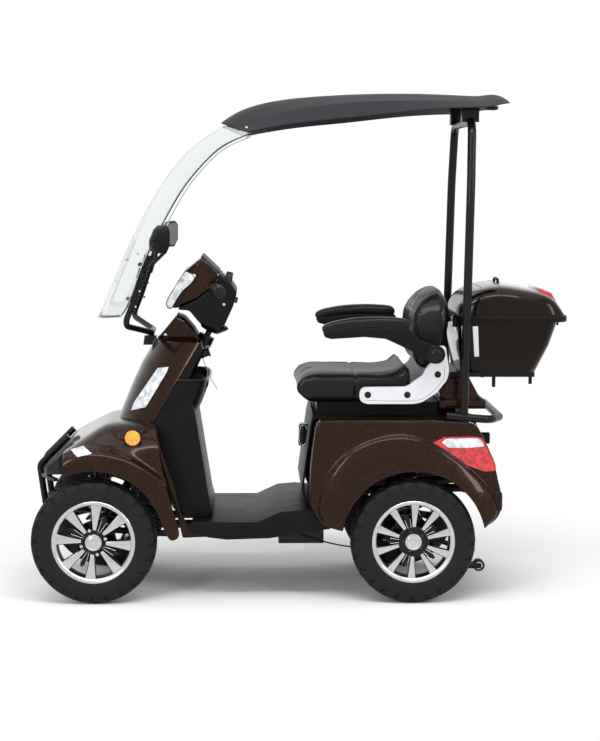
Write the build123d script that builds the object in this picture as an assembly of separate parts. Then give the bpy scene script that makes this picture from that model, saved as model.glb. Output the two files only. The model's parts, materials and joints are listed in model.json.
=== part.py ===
from build123d import *
import math
import os

os.makedirs("parts", exist_ok=True)

# A roofed four-wheel mobility scooter, in millimetres.
# +X points forward, +Y to the rider's left, +Z up. The origin is on the floor under the middle of its box.
# Places at the front are measured from the front axle, places at the back from the rear axle.

# Overall sizes
WHEELBASE = 1040.0
FRONT_REACH = 205.0
REAR_REACH = 512.0
FRONT_AXLE_X = (WHEELBASE + FRONT_REACH + REAR_REACH) / 2 - FRONT_REACH
REAR_AXLE_X = FRONT_AXLE_X - WHEELBASE

# Wheels
TYRE_R = 205.0
TYRE_HALF = 40.0
TRACK_HALF = 280.0
BEAD_R = 127.0
FLANGE_R = 135.0
FLANGE_HALF = 36.0
SEAT_HALF = 33.0
BARREL_R = 118.0
SPOKE_IN = 14.0
SPOKE_OUT = 30.0
SPOKE_TIP_HALF = 15.0
SPOKE_ROOT_HALF = 6.0
FRONT_SPOKES = 8
REAR_SPOKES = 10
FRONT_HUB_R = 44.0
REAR_HUB_R = 53.0
HUB_INNER = -18.0
CAP_R = 28.0
CAP_OUT = 37.0
STUB_R = 9.0
FIT = 0.3

# Front axle and steering
KINGPIN_INSET = 48.0
KINGPIN_Y = TRACK_HALF - KINGPIN_INSET
KINGPIN_R = 7.0
EYE_R = 14.0
EYE_GAP = 1.0
BARREL_HALF = 29.0
EYE_THICK = 14.0
BEAM_HALF = 20.0
BEAM_END_GAP = 15.0
ARM_LENGTH = 80.0
TIE_DROP = 28.0
TIE_R = 6.0
DROP_PIN_R = 5.0
DROP_HOLE_R = 9.5
BRAKE_PLATE_R = 62.0
BRAKE_PLATE_Y = 24.0
BRAKE_PLATE_THICK = 5.0
RAKE = 25.0
COLUMN_X = -363.0
COLUMN_Z = 853.0
SHAFT_R = 10.0
COLUMN_R = 15.0

# Frame
RAIL_Y = 85.0
RAIL_R = 14.0
DECK_RAIL_Z = 222.0
CROSS_R = 11.0

# Body
SKIN = 4.0
ARCH_R = 234.0
ARCH_HALF = 338.0
BODY_HALF = 300.0
WELL_HALF = 112.0
SHIELD_HALF = 200.0
DECK_HALF = 270.0
GAP = 0.5

# Seat, box and weather cover
SEAT_HALF_WIDTH = 232.0
BACK_HALF_WIDTH = 222.0
BRACKET_IN = 240.0
BRACKET_OUT = 256.0
ARMREST_IN = 264.0
ARMREST_OUT = 318.0
ARM_PIVOT_X = -66.0
ARM_PIVOT_Z = 819.0
ARM_BOSS_R = 31.0
BOX_HALF = 218.0
BOX_RIM_Z = 925.0
POST_FOOT_Y = 285.0
POST_KINK_Y = 270.0
POST_HEAD_Y = 236.0
POST_R = 14.0
ROOF_HALF = 290.0
ROOF_SKIN = 4.0
SCREEN_HALF = 240.0
SCREEN_SKIN = 5.0
SCREEN_TUBE_R = 10.0
SCREEN_TUBE_Y = 220.0
RAIL_TUBE_R = 13.0

# Places along the steering axis, counted up from the collar
SHAFT_FOOT = -690.0
COLUMN_CROSS = -641.0
NECK_FOOT = 16.0
NECK_TOP = 46.0
HEAD_FLOOR = 33.0
COWL_GAP = 6.0
BAR_ALONG = 168.0
BAR_OUT = 48.0
BAR_R = 11.0
GRIP_R = 17.0

# Axles, shocks and towers
REAR_TUBE_R = 26.0
MOTOR_R = 62.0
DRUM_R = 70.0
SHOCK_Y = 148.0
SHOCK_TOP_Z = 424.0
REAR_SHOCK_TOP_Z = 464.0
MAST_X = -168.0
MAST_BEAM_Z = 572.0
MAST_FOOT_Y = 282.0
REAR_RAIL_Z = 335.0
TRAY_HALF = 150.0
TRAY_LOW = 168.0
TRAY_REAR = 286.0
TRAY_FRONT = 437.0
DECK_TOP = 263.0
DECK_PLATE_Z = 598.0
SEAT_DECK_Z = 603.0
CABLE_R = 2.5
ANTI_TIP_X = -238.0
ANTI_TIP_Y = 128.0
ANTI_TIP_Z = 88.0
ANTI_TIP_R = 20.0
ANTI_TIP_PIN_R = 4.0

# Lamps, mirrors, rack and box
INDICATOR_X = FRONT_AXLE_X - 127.0
INDICATOR_Z = 543.0
INDICATOR_R = 26.0
TAIL_HALF = 214.0
LAMP_IN = 228.0
REFLECTOR_IN = 262.0
RAIL_FOOT_R = 11.0
MIRROR_X = -212.0
MIRROR_Y = 301.0
MIRROR_Z = 1186.0
MIRROR_TURN = 33.0
MIRROR_WIDE = 100.0
MIRROR_HIGH = 88.0
MIRROR_DEEP = 32.0
RACK_LOW = 728.0
RACK_TOP = 745.0
BOX_SKIN = 4.0
BOX_FRONT = -152.0
LID_LOW_Z = 916.0
LID_BAND = 20.0
LID_HINGE_X = -147.0
LID_HINGE_Z = 925.0
LID_PIN_R = 3.0
LID_BARREL_R = 6.0
LID_EAR_R = 4.5
LID_BARREL_Y = 90.0
LID_LUG_HALF = 10.0
POST_TOP_Z = 1566.0

# Side outlines in X and Z, counted from the front axle
HOOD_SIDE = [
    (98, 470), (95, 498), (33, 538), (-36, 577), (-120, 582), (-196, 590), (-221, 458), (-264, 300), (-312, 268),
    (-318, 212), (-366, 216), (-366, 160), (98, 160),
]
HOOD_FRONT = [(0, 640), (150, 622), (205, 578), (300, 508), (ARCH_HALF, 468), (ARCH_HALF, 150)]
NOSE_LAMP = [(58, 496), (70, 521), (97.5, 499), (97.5, 476)]
PANEL_REAR = [(-352, 820), (-300, 716), (-327, 611)]
HEAD_TOP = [
    (-349, 1123), (-292, 1076), (-228, 971), (-233, 953), (-262, 950), (-330, 985), (-392, 1032), (-403, 1071),
]
HEAD_REAR = [
    (-262, 949), (-306, 946), (-340, 905), (-396, 880), (-424, 899), (-452, 961), (-465, 1006), (-445, 1037),
    (-404, 1070), (-393, 1031), (-331, 984),
]

# Side outlines in X and Z, counted from the rear axle
REAR_SIDE = [
    (318, 595), (303, 603), (-95, 603), (-168, 594), (-210, 592), (-220, 556), (-260, 475), (-272, 436), (-274, 405),
    (-286, 379), (-289, 293), (-268, 267), (-242, 254), (-180, 254), (0, 254), (180, 254), (266, 254), (268, 306),
    (342, 311),
]
LAMP_SIDE = [(-53, 528), (-97, 549), (-212, 551), (-228, 538), (-264, 460), (-266, 438), (-234, 433), (-135, 470)]
REFLECTOR_SIDE = [(-256, 304), (-286, 304), (-286, 368), (-262, 368)]
BRACKET_SIDE = [
    (177, 688), (168, 706), (24, 708), (-26, 738), (-44, 775), (-62, 788), (-100, 797), (-116, 763), (-110, 731),
    (-76, 688), (-27, 656), (-1, 651), (155, 653), (173, 666),
]

# Leg shield sections: height, where the side edge stands and where the middle ridge stands, from the front axle
SHIELD = [
    (290.0, -262.0, -236.0),
    (458.0, -219.0, -140.0),
    (584.0, -192.0, -66.0),
    (695.0, -254.0, -111.0),
    (770.0, -300.0, -146.0),
    (845.0, -343.0, -192.0),
]

# Screen sections: middle x and z, then edge x and z, from the front axle
SCREEN = [
    (7, 916, -88, 933),
    (-19, 971, -119, 976),
    (-68, 1094, -160, 1106),
    (-133, 1235, -228, 1241),
    (-200, 1350, -290, 1352),
    (-255, 1428, -358, 1431),
    (-314, 1490, -415, 1486),
    (-398, 1548, -490, 1518),
    (-419, 1556.5, -511, 1525.5),
]

# Roof sections: from which axle, middle x and z, edge x and z, crease share, half width
ROOF_SECTIONS = [
    ("front", -406, 1564, -500, 1530, 0.84, 262),
    ("front", -497, 1617, -580, 1546, 0.62, 282),
    ("front", -602, 1644, -680, 1562, 0.50, 290),
    ("front", -760, 1656, -810, 1574, 0.42, 290),
    ("rear", 149, 1663, 149, 1583, 0.42, 290),
    ("rear", -35, 1664, -35, 1606, 0.52, 290),
    ("rear", -224, 1655, -240, 1612, 0.60, 288),
    ("rear", -268, 1664, -272, 1624, 0.60, 286),
    ("rear", -299, 1652, -301, 1624, 0.60, 280),
]
CREASE_SHARE = 0.8
FLAT_SHARE = 0.4
FLAT_FALL = 0.06


def ahead(points):
    """Points given from the front axle, moved to the part's own frame."""
    return [(FRONT_AXLE_X + x, z) for x, z in points]


def behind(points):
    """Points given from the rear axle, moved to the part's own frame."""
    return [(REAR_AXLE_X + x, z) for x, z in points]


def slab(points, low_y, high_y, radius=0.0):
    """A side outline in X and Z, pushed from low_y to high_y, with its corners rounded by radius."""
    corners = [(x, low_y, z) for x, z in points]
    outline = FilletPolyline(*corners, radius=radius, close=True) if radius else Polyline(*corners, close=True)
    return extrude(make_face(outline.edges()), amount=high_y - low_y, dir=(0, 1, 0))


def front_slab(points, low_x, high_x):
    """An outline in Y and Z, pushed from low_x to high_x."""
    corners = [(low_x, y, z) for y, z in points]
    return extrude(make_face(Polyline(*corners, close=True).edges()), amount=high_x - low_x, dir=(1, 0, 0))


def plan_slab(points, low_z, high_z):
    """An outline in X and Y, pushed from low_z to high_z."""
    corners = [(x, y, low_z) for x, y in points]
    return extrude(make_face(Polyline(*corners, close=True).edges()), amount=high_z - low_z, dir=(0, 0, 1))


def block(low, high):
    """A box between two corners."""
    size = [b - a for a, b in zip(low, high)]
    middle = [(a + b) / 2 for a, b in zip(low, high)]
    return Pos(*middle) * Box(*size)


def rod(start, end, radius):
    """A round bar between two points."""
    run = Vector(*end) - Vector(*start)
    return extrude(Plane(origin=start, z_dir=run) * Circle(radius), amount=run.length)


def tube(points, bends, radius):
    """A round bar bent through points, with one bend radius for each inner point."""
    path = FilletPolyline(*points, radius=bends)
    return sweep(Plane(origin=path @ 0, z_dir=path % 0) * Circle(radius), path=path)


def both_sides(shape):
    """A left piece with its mirror image."""
    return [shape, mirror(shape, about=Plane.XZ)]


def spun(points, x, y, z):
    """A ring about an axle along Y: points are (distance out along +Y, radius)."""
    face = make_face(Polyline(*[(x, y + w, z + r) for w, r in points], close=True).edges())
    return revolve(face, axis=Axis((x, y, z), (0, 1, 0)))


def joined(shapes):
    """All the shapes fused into one."""
    whole = shapes[0]
    for shape in shapes[1:]:
        whole = whole + shape
    return whole


def save(name, shape):
    """Writes one piece, or a list of like pieces that don't touch, to its own file."""
    if isinstance(shape, list):
        shape = Compound(children=[s for piece in shape for s in piece.solids()])
    export_step(shape, "parts/" + name + ".step")


# The steering axis leans back by RAKE and passes through the column collar.
AXIS_UP = Vector(-math.sin(math.radians(RAKE)), 0, math.cos(math.radians(RAKE)))
COLLAR = Vector(FRONT_AXLE_X + COLUMN_X, 0, COLUMN_Z)


def on_axis(along, out=0.0):
    """A point at a distance along the steering axis from the collar, and out ahead of the axis."""
    point = COLLAR + AXIS_UP * along + Vector(AXIS_UP.Z, 0, -AXIS_UP.X) * out
    return (point.X, 0.0, point.Z)


def drop_joint():
    """The point where the drop arm's pin meets the tie rod, as far from the axis as a steering arm is long."""
    lean = math.radians(RAKE)
    along = (TYRE_R - TIE_DROP - COLLAR.Z + ARM_LENGTH * math.sin(lean)) / math.cos(lean)
    return along, on_axis(along, -ARM_LENGTH)


def tyre(x, side):
    """One tyre: flat beads, bulged walls and a rounded crown."""
    y = side * TRACK_HALF
    bead = SEAT_HALF - FIT
    wall_r = FLANGE_R + 1.0
    shoulder_half = TYRE_HALF - 6.0
    shoulder_r = TYRE_R - 14.0
    belly_r = (wall_r + shoulder_r) / 2

    def at(w, r):
        return (x, y + w, TYRE_R + r)

    edges = [
        Line(at(-bead, BEAD_R), at(bead, BEAD_R)),
        Line(at(bead, BEAD_R), at(bead, wall_r)),
        ThreePointArc(at(bead, wall_r), at(TYRE_HALF, belly_r), at(shoulder_half, shoulder_r)),
        ThreePointArc(at(shoulder_half, shoulder_r), at(0, TYRE_R), at(-shoulder_half, shoulder_r)),
        ThreePointArc(at(-shoulder_half, shoulder_r), at(-TYRE_HALF, belly_r), at(-bead, wall_r)),
        Line(at(-bead, wall_r), at(-bead, BEAD_R)),
    ]
    face = make_face(edges)
    return revolve(face, axis=Axis((x, y, TYRE_R), (0, 1, 0)))


def rim(x, side, spokes, hub_r):
    """One rim: flanged barrel, spokes, hub bored for the stub axle, and a hub cap."""
    y = side * TRACK_HALF
    seat_r = BEAD_R - FIT

    def out(points):
        return [(side * w, r) for w, r in points]

    barrel = spun(
        out([
            (-FLANGE_HALF, BARREL_R + 3.0),
            (-FLANGE_HALF, FLANGE_R),
            (-SEAT_HALF, FLANGE_R),
            (-SEAT_HALF, seat_r),
            (SEAT_HALF, seat_r),
            (SEAT_HALF, FLANGE_R),
            (FLANGE_HALF, FLANGE_R),
            (FLANGE_HALF, BARREL_R + 3.0),
            (SPOKE_OUT, BARREL_R),
            (-SPOKE_OUT, BARREL_R),
        ]),
        x, y, TYRE_R,
    )
    bore_r = STUB_R + FIT
    hub = spun(
        out([(HUB_INNER, bore_r), (HUB_INNER, 30.0), (SPOKE_IN - 4, hub_r), (SPOKE_OUT - 6, hub_r),
             (SPOKE_OUT - 6, CAP_R), (CAP_OUT - 6, CAP_R), (CAP_OUT, CAP_R - 9), (CAP_OUT, 0.0),
             (SPOKE_OUT, 0.0), (SPOKE_OUT, bore_r)]),
        x, y, TYRE_R,
    )
    pieces = [barrel, hub]
    low, high = sorted((y + side * SPOKE_IN, y + side * (SPOKE_OUT - 2)))
    root, tip = hub_r - 10.0, BARREL_R + 1.5
    for number in range(spokes):
        turn = math.radians(85.0 + 360.0 * number / spokes)
        radial = (math.cos(turn), math.sin(turn))
        across = (-radial[1], radial[0])
        corners = [(root, -SPOKE_ROOT_HALF), (tip, -SPOKE_TIP_HALF), (tip, SPOKE_TIP_HALF), (root, SPOKE_ROOT_HALF)]
        outline = [
            (x + a * radial[0] + b * across[0], TYRE_R + a * radial[1] + b * across[1]) for a, b in corners
        ]
        pieces.append(slab(outline, low, high))
    return joined(pieces)


def beam_eye(low_z, high_z):
    """One eye of the beam axle's fork, bored for the kingpin."""
    eye = rod((FRONT_AXLE_X, KINGPIN_Y, low_z), (FRONT_AXLE_X, KINGPIN_Y, high_z), EYE_R)
    bore = rod((FRONT_AXLE_X, KINGPIN_Y, low_z), (FRONT_AXLE_X, KINGPIN_Y, high_z), KINGPIN_R + FIT)
    return eye, bore


def front_axle():
    """Square beam with a forked end at each kingpin, and two trailing arms back to the rails."""
    eye_low = TYRE_R + BARREL_HALF + EYE_GAP
    eye_high = eye_low + EYE_THICK
    half = KINGPIN_Y - EYE_R - BEAM_END_GAP
    beam = block((FRONT_AXLE_X - BEAM_HALF, -half, TYRE_R - BEAM_HALF), (FRONT_AXLE_X + BEAM_HALF, half, TYRE_R + BEAM_HALF))
    pieces = [beam]
    bores = []
    for low, high in ((eye_low, eye_high), (2 * TYRE_R - eye_high, 2 * TYRE_R - eye_low)):
        eye, bore = beam_eye(low, high)
        plate = block((FRONT_AXLE_X - EYE_R, half - 30.0, low), (FRONT_AXLE_X + EYE_R, KINGPIN_Y, high))
        pieces += both_sides(eye) + both_sides(plate)
        bores += both_sides(bore)
    cheek = block(
        (FRONT_AXLE_X - EYE_R, half - 30.0, 2 * TYRE_R - eye_high),
        (FRONT_AXLE_X + EYE_R, half - 8.0, eye_high),
    )
    pieces += both_sides(cheek)
    arm = rod((FRONT_AXLE_X, RAIL_Y, TYRE_R), (FRONT_AXLE_X - 228.0, RAIL_Y, TYRE_R - 16.0), CROSS_R)
    pieces += both_sides(arm)
    axle = joined(pieces)
    for bore in bores:
        axle = axle - bore
    return axle


def knuckle(side):
    """Kingpin, barrel, stub axle, brake plate and steering arm of one front wheel."""
    x, y, z = FRONT_AXLE_X, side * KINGPIN_Y, TYRE_R
    pin_half = BARREL_HALF + EYE_GAP + EYE_THICK + 4.0
    stub_end = side * (TRACK_HALF + SPOKE_OUT - 2.0)
    plate_y = y + side * BRAKE_PLATE_Y
    tie_z = TYRE_R - TIE_DROP
    pieces = [
        rod((x, y, z - BARREL_HALF), (x, y, z + BARREL_HALF), EYE_R - 1.0),
        rod((x, y, z - pin_half), (x, y, z + pin_half), KINGPIN_R),
        rod((x, y, z), (x, stub_end, z), STUB_R),
        rod((x, plate_y - side * BRAKE_PLATE_THICK, z), (x, plate_y, z), BRAKE_PLATE_R),
        rod((x, y, z), (x, plate_y, z), 22.0),
        rod((x, y, tie_z + 12.0), (x - ARM_LENGTH, y, tie_z + 12.0), 7.0),
        rod((x - ARM_LENGTH, y, tie_z + 19.0), (x - ARM_LENGTH, y, tie_z - 7.0), 5.0),
    ]
    return joined(pieces)


def tie_rod():
    """Bar between the two steering arms, with an eye at each end and a tongue for the drop arm."""
    x, z = FRONT_AXLE_X - ARM_LENGTH, TYRE_R - TIE_DROP
    bar = rod((x, -KINGPIN_Y + 9, z), (x, KINGPIN_Y - 9, z), TIE_R)
    pieces = [bar]
    for y in (-KINGPIN_Y, KINGPIN_Y):
        pieces.append(rod((x, y, z - 5.0), (x, y, z + 4.0), 10.0))
    tip = drop_joint()[1][0]
    pieces.append(block((tip - 16.0, -15.0, z - 4.0), (x, 15.0, z + 4.0)))
    whole = joined(pieces)
    for y in (-KINGPIN_Y, KINGPIN_Y):
        whole = whole - rod((x, y, z - 10.0), (x, y, z + 10.0), 5.0 + FIT)
    return whole - rod((tip, 0, z - 10.0), (tip, 0, z + 10.0), DROP_HOLE_R)


def steering_shaft():
    """Shaft from the drop arm up to the handlebar clamp."""
    foot, top = on_axis(SHAFT_FOOT), on_axis(BAR_ALONG - 12.0)
    arm_start, arm_end = on_axis(SHAFT_FOOT + 5.0), on_axis(SHAFT_FOOT + 5.0, -ARM_LENGTH - 9.0)
    pin_top, pin_low = on_axis(SHAFT_FOOT + 15.0, -ARM_LENGTH), on_axis(drop_joint()[0] - 15.0, -ARM_LENGTH)
    return joined([
        rod(foot, top, SHAFT_R),
        rod(foot, on_axis(SHAFT_FOOT + 14.0), 16.0),
        rod(arm_start, arm_end, 7.0),
        rod(pin_top, pin_low, DROP_PIN_R),
    ])


def underframe():
    """Two bent rails with their cross tubes, the column tube, the mast beam and the underfloor tray."""
    path = [
        (FRONT_AXLE_X + 166.0, 300.0), (FRONT_AXLE_X + 60.0, 276.0), (FRONT_AXLE_X - 90.0, 274.0),
        (FRONT_AXLE_X - 210.0, DECK_RAIL_Z), (REAR_AXLE_X + 330.0, DECK_RAIL_Z),
        (REAR_AXLE_X + 190.0, REAR_RAIL_Z), (REAR_AXLE_X - 218.0, REAR_RAIL_Z + 10.0),
    ]
    rail = tube([(x, RAIL_Y, z) for x, z in path], [60.0, 60.0, 60.0, 60.0, 60.0], RAIL_R)
    pieces = both_sides(rail)
    for x, z in (path[2], path[3], path[4], path[6]):
        pieces.append(rod((x, -RAIL_Y, z), (x, RAIL_Y, z), CROSS_R))
    for x, z in ((FRONT_AXLE_X - 345.0, DECK_RAIL_Z), (REAR_AXLE_X + 480.0, DECK_RAIL_Z)):
        reach = DECK_HALF - 2 * SKIN
        pieces.append(block((x - 12.0, -reach, z), (x + 12.0, reach, DECK_TOP - SKIN - GAP)))
    # Brackets that hold the trailing arms' rear ends
    arm_x = FRONT_AXLE_X - 228.0
    pieces += both_sides(block((arm_x - 12, RAIL_Y - 12, TYRE_R - 28), (arm_x - 2, RAIL_Y + 12, DECK_RAIL_Z)))
    # Front tower for the upper shock ends and the hood
    tower = rod((FRONT_AXLE_X, RAIL_Y, 270.0), (FRONT_AXLE_X, RAIL_Y, SHOCK_TOP_Z), CROSS_R)
    pieces += both_sides(tower)
    pieces.append(rod((FRONT_AXLE_X, -SHOCK_Y - 14, SHOCK_TOP_Z), (FRONT_AXLE_X, SHOCK_Y + 14, SHOCK_TOP_Z), CROSS_R))
    # Rear tower and mast beam inside the rear body
    for x, top, half in ((REAR_AXLE_X, SHOCK_TOP_Z + 40.0, SHOCK_Y + 14), (REAR_AXLE_X + MAST_X, MAST_BEAM_Z, MAST_FOOT_Y)):
        pieces += both_sides(rod((x, RAIL_Y, 340.0), (x, RAIL_Y, top), CROSS_R))
        pieces.append(rod((x, -half, top), (x, half, top), CROSS_R))
    # Seat tower up to the pedestal
    for x in (REAR_AXLE_X + 60.0, REAR_AXLE_X + 240.0):
        base = 338.0 if x < REAR_AXLE_X + 100 else 300.0
        pieces += both_sides(rod((x, RAIL_Y, base), (x, RAIL_Y, DECK_PLATE_Z - GAP), CROSS_R))
    # Column tube on its cross tube, with the collar at its top
    column = rod(on_axis(SHAFT_FOOT + 22.0), on_axis(-16.0), COLUMN_R)
    collar = rod(on_axis(-34.0), on_axis(0.0), COLUMN_R + 12.0)
    foot_x, _, foot_z = on_axis(COLUMN_CROSS)
    pieces += [column, collar, rod((foot_x, -RAIL_Y, foot_z), (foot_x, RAIL_Y, foot_z), CROSS_R)]
    # Underfloor tray below the raised step
    tray_top = DECK_RAIL_Z - RAIL_R + 4.0
    pieces.append(block((REAR_AXLE_X + TRAY_REAR, -TRAY_HALF, TRAY_LOW), (REAR_AXLE_X + TRAY_FRONT, TRAY_HALF, tray_top)))
    frame = joined(pieces)
    return frame - rod(on_axis(SHAFT_FOOT), on_axis(10.0), SHAFT_R + FIT)


def shock_absorbers():
    """Four coil-over units between the axles and the towers."""
    pieces = []
    for x, top, foot in ((FRONT_AXLE_X, SHOCK_TOP_Z, TYRE_R + BEAM_HALF), (REAR_AXLE_X, SHOCK_TOP_Z + 40.0, TYRE_R + REAR_TUBE_R)):
        low = foot + GAP
        high = top - CROSS_R - GAP
        unit = rod((x, SHOCK_Y, low), (x, SHOCK_Y, high), 10.0)
        coil = rod((x, SHOCK_Y, low + 20.0), (x, SHOCK_Y, high - 22.0), 23.0)
        pieces += both_sides(unit + coil)
    return pieces


def rear_axle():
    """Axle tube with the motor and gear housing, brake drums and the wheel shafts."""
    x, z = REAR_AXLE_X, TYRE_R
    drum_in = TRACK_HALF - FLANGE_HALF - 4.0
    pieces = [
        rod((x, -drum_in, z), (x, drum_in, z), REAR_TUBE_R),
        rod((x, -75.0, z), (x, 75.0, z), MOTOR_R),
        block((x - 10.0, -50.0, z - 45.0), (x + 112.0, 50.0, z + 40.0)),
    ]
    for side in (-1, 1):
        pieces.append(rod((x, side * (drum_in - 12.0), z), (x, side * (drum_in + 18.0), z), DRUM_R))
        pieces.append(rod((x, 0, z), (x, side * (TRACK_HALF + SPOKE_OUT - 2.0), z), STUB_R))
    return joined(pieces)


def footboard():
    """Deck with down-turned sides, level in front and raised in a step under the seat."""
    top = ahead([(-316, 232), (-316, 255), (-322, DECK_TOP)]) + behind([(506, DECK_TOP), (434, 297), (372, 302), (269, 296), (269, 240), (471, 209)])
    outline = top + ahead([(-431, 205), (-372, 212)])
    whole = slab(outline, -DECK_HALF, DECK_HALF)
    hollow = [(x, z - SKIN) for x, z in outline[1:7]] + [(REAR_AXLE_X + 262.0, 100.0), (FRONT_AXLE_X - 326.0, 100.0)]
    hollow[0] = (FRONT_AXLE_X - 326.0, hollow[0][1])
    hollow[-3] = (REAR_AXLE_X + 262.0, hollow[-3][1])
    rail_room = block((REAR_AXLE_X + 255.0, -RAIL_Y - 20.0, 200.0), (REAR_AXLE_X + 284.0, RAIL_Y + 20.0, 320.0))
    front_room = block((FRONT_AXLE_X - 340.0, -RAIL_Y - 20.0, 200.0), (FRONT_AXLE_X - 310.0, RAIL_Y + 20.0, 240.0))
    return whole - slab(hollow, -DECK_HALF + SKIN, DECK_HALF - SKIN) - rail_room - front_room


def bowed(z, side_x, ridge_x, half, grow=0.0):
    """A level plate outline with a bowed front, as a face that reaches back past the sides."""
    a, b, c = (side_x + grow, -half - grow), (ridge_x + grow, 0.0), (side_x + grow, half + grow)

    def at(p):
        return (FRONT_AXLE_X + p[0], p[1], z)

    back = side_x - 30.0
    left, right = (back, half + grow), (back, -half - grow)
    return make_face([
        ThreePointArc(at(a), at(b), at(c)), Line(at(c), at(left)), Line(at(left), at(right)), Line(at(right), at(a)),
    ])


def shield_solid(grow=0.0):
    """The leg shield's outside as a solid, offset by grow."""
    return loft([bowed(z, s, r, SHIELD_HALF, grow) for z, s, r in SHIELD], ruled=True)


def shield_back(shift):
    """Everything behind the shield's side edge, shifted forward by shift."""
    edge = [(s + shift, z) for z, s, r in SHIELD]
    low, high = edge[0], edge[-1]
    outline = [(low[0], low[1] - 100.0)] + edge + [(high[0], high[1] + 100.0), (-700.0, high[1] + 100.0), (-700.0, low[1] - 100.0)]
    return slab(ahead(outline), -2 * SHIELD_HALF, 2 * SHIELD_HALF)


def leg_shield():
    """Bowed brown shield, a skin that is open to the back."""
    shell = shield_solid() - shield_solid(-SKIN) - shield_back(0.0)
    column_room = block((FRONT_AXLE_X - 400.0, -RAIL_Y, 200.0), (FRONT_AXLE_X, RAIL_Y, 475.0))
    return shell - column_room


def side_lamps():
    """Long lamps on the shield's flanks, as a lens that follows the skin."""
    outline = ahead([(-203, 758), (-240, 764), (-232, 744), (-164, 630), (-112, 613), (-122, 640)])
    lens = slab(outline, 60.0, SHIELD_HALF) & (shield_solid(3.0) - shield_solid(GAP))
    return both_sides(lens)


def upper_cowl():
    """Brown cowl between the shield and the steering head, hollow round the column."""
    foot = SHIELD[-1][0] + FIT
    outline = ahead([(-196, foot), (-262, 926), (-288, 914), (-318, 880), (-338, foot)])
    right = [(-360, -95), (-300, -92), (-230, -70), (-190, -40)]
    plan = ahead(right + [(x, -y) for x, y in reversed(right)])
    body = slab(outline, -95.0, 95.0) & plan_slab(plan, 800.0, 960.0)
    inner = slab(ahead([(-204, 840), (-263, 916), (-286, 904), (-400, 800), (-210, 800)]), -66.0, 66.0)
    floor = HEAD_FLOOR - COWL_GAP
    clear = spun_axis([
        (-120.0, 44.0), (NECK_FOOT - 8.0, 44.0), (floor, 66.0), (floor, 400.0), (200.0, 400.0), (200.0, 0.0), (-120.0, 0.0),
    ])
    return body - inner - clear


def spun_axis(points):
    """A shape turned about the steering axis: points are (distance along, radius)."""
    face = make_face(Polyline(*[on_axis(a, r) for a, r in points], close=True).edges())
    return revolve(face, axis=Axis((COLLAR.X, 0, COLLAR.Z), (AXIS_UP.X, 0, AXIS_UP.Z)))


def inner_panel():
    """Black rider-side panel that closes the shield's back."""
    front_edge = [(side_x - FIT, z) for z, side_x, ridge_x in SHIELD[:-1]]
    outline = ahead([(-345, SHIELD[-1][0] + 1.0)] + PANEL_REAR + [
        (-349, 474), (-375, 311), (-384, 277), (-352, DECK_TOP + GAP), (-322, DECK_TOP + GAP),
    ] + front_edge)
    half = SHIELD_HALF - SKIN - GAP
    whole = slab(outline, -half, half)
    hollow = slab([(x + 7.0, z - 5.0 if z > 840 else z) for x, z in outline], -half + SKIN, half - SKIN)
    return whole - hollow - column_room()


def column_room():
    """Clear space round the column tube and its collar."""
    return rod(on_axis(-400.0), on_axis(40.0), COLUMN_R + 8.0) + rod(on_axis(-38.0), on_axis(40.0), COLUMN_R + 13.0)


def front_pocket():
    """Open-topped pocket on the rider side of the inner panel."""
    (_, knee, low) = PANEL_REAR
    outline = [(knee[0] - 3.4, 722), (-331, 736), (-366, 722), (-369, 696), (low[0] - 2 * FIT, low[1]), (knee[0] - 2 * FIT, knee[1])]
    outer = slab(ahead(outline), -115.0, 115.0)
    inner = slab(ahead([(-310, 780), (-360, 780), (-362, 722), (-365, 697), (-328, 620), (-310, 702)]), -111.0, 111.0)
    return outer - inner - column_room()


def hood_block(inset):
    """The hood's outside before its arches and hollow are cut, drawn in by inset."""
    side_outline = [(x, z - inset) for x, z in ahead(HOOD_SIDE)]
    right = [(-(y - inset), z - inset) for y, z in reversed(HOOD_FRONT[1:])]
    left = [(y - inset, z - inset) for y, z in HOOD_FRONT[1:]]
    return slab(side_outline, -400.0, 400.0) & front_slab(right + left, FRONT_AXLE_X - 400.0, FRONT_AXLE_X + 120.0)


def front_hood():
    """Domed hood with a wheel arch on each side, as one skin with its arch liners."""
    x = FRONT_AXLE_X
    whole = hood_block(0.0)
    keep = hood_block(SKIN)
    wells = []
    liners = []
    for low, high in ((-400.0, -WELL_HALF), (WELL_HALF, 400.0)):
        wells.append(rod((x, low, TYRE_R), (x, high, TYRE_R), ARCH_R))
        liners.append(rod((x, low, TYRE_R), (x, high, TYRE_R), ARCH_R + SKIN))
    hollow = keep
    for liner in liners:
        hollow = hollow - liner
    shell = whole - hollow
    for well in wells:
        shell = shell - well
    middle = block((x - 500.0, -WELL_HALF, 0.0), (x + 90.0, WELL_HALF, 425.0))
    under = block((x - 500.0, -400.0, 100.0), (x + 200.0, 400.0, 208.0))
    front_cut = block((x + 66.0, WELL_HALF, 0.0), (x + 300.0, 400.0, 436.0))
    shell = shell - middle - under - front_cut - mirror(front_cut, about=Plane.XZ)
    shell = shell - shield_solid(GAP) - shield_back(GAP + 2.0)
    holes = both_sides(rod((INDICATOR_X, 200.0, INDICATOR_Z), (INDICATOR_X, 400.0, INDICATOR_Z), INDICATOR_R + GAP))
    lamp_rooms = both_sides(slab(ahead(grown(NOSE_LAMP, GAP)), 200.0 - GAP, 400.0))
    for room in holes + lamp_rooms:
        shell = shell - room
    return largest(shell)


def largest(shape):
    """The largest solid of a shape."""
    return max(shape.solids(), key=lambda solid: solid.volume)


def indicator_lamps():
    """Round amber lamps in the hood's flanks."""
    lamp = rod((INDICATOR_X, 222.0, INDICATOR_Z), (INDICATOR_X, 268.0, INDICATOR_Z), INDICATOR_R)
    return both_sides(lamp)


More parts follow.
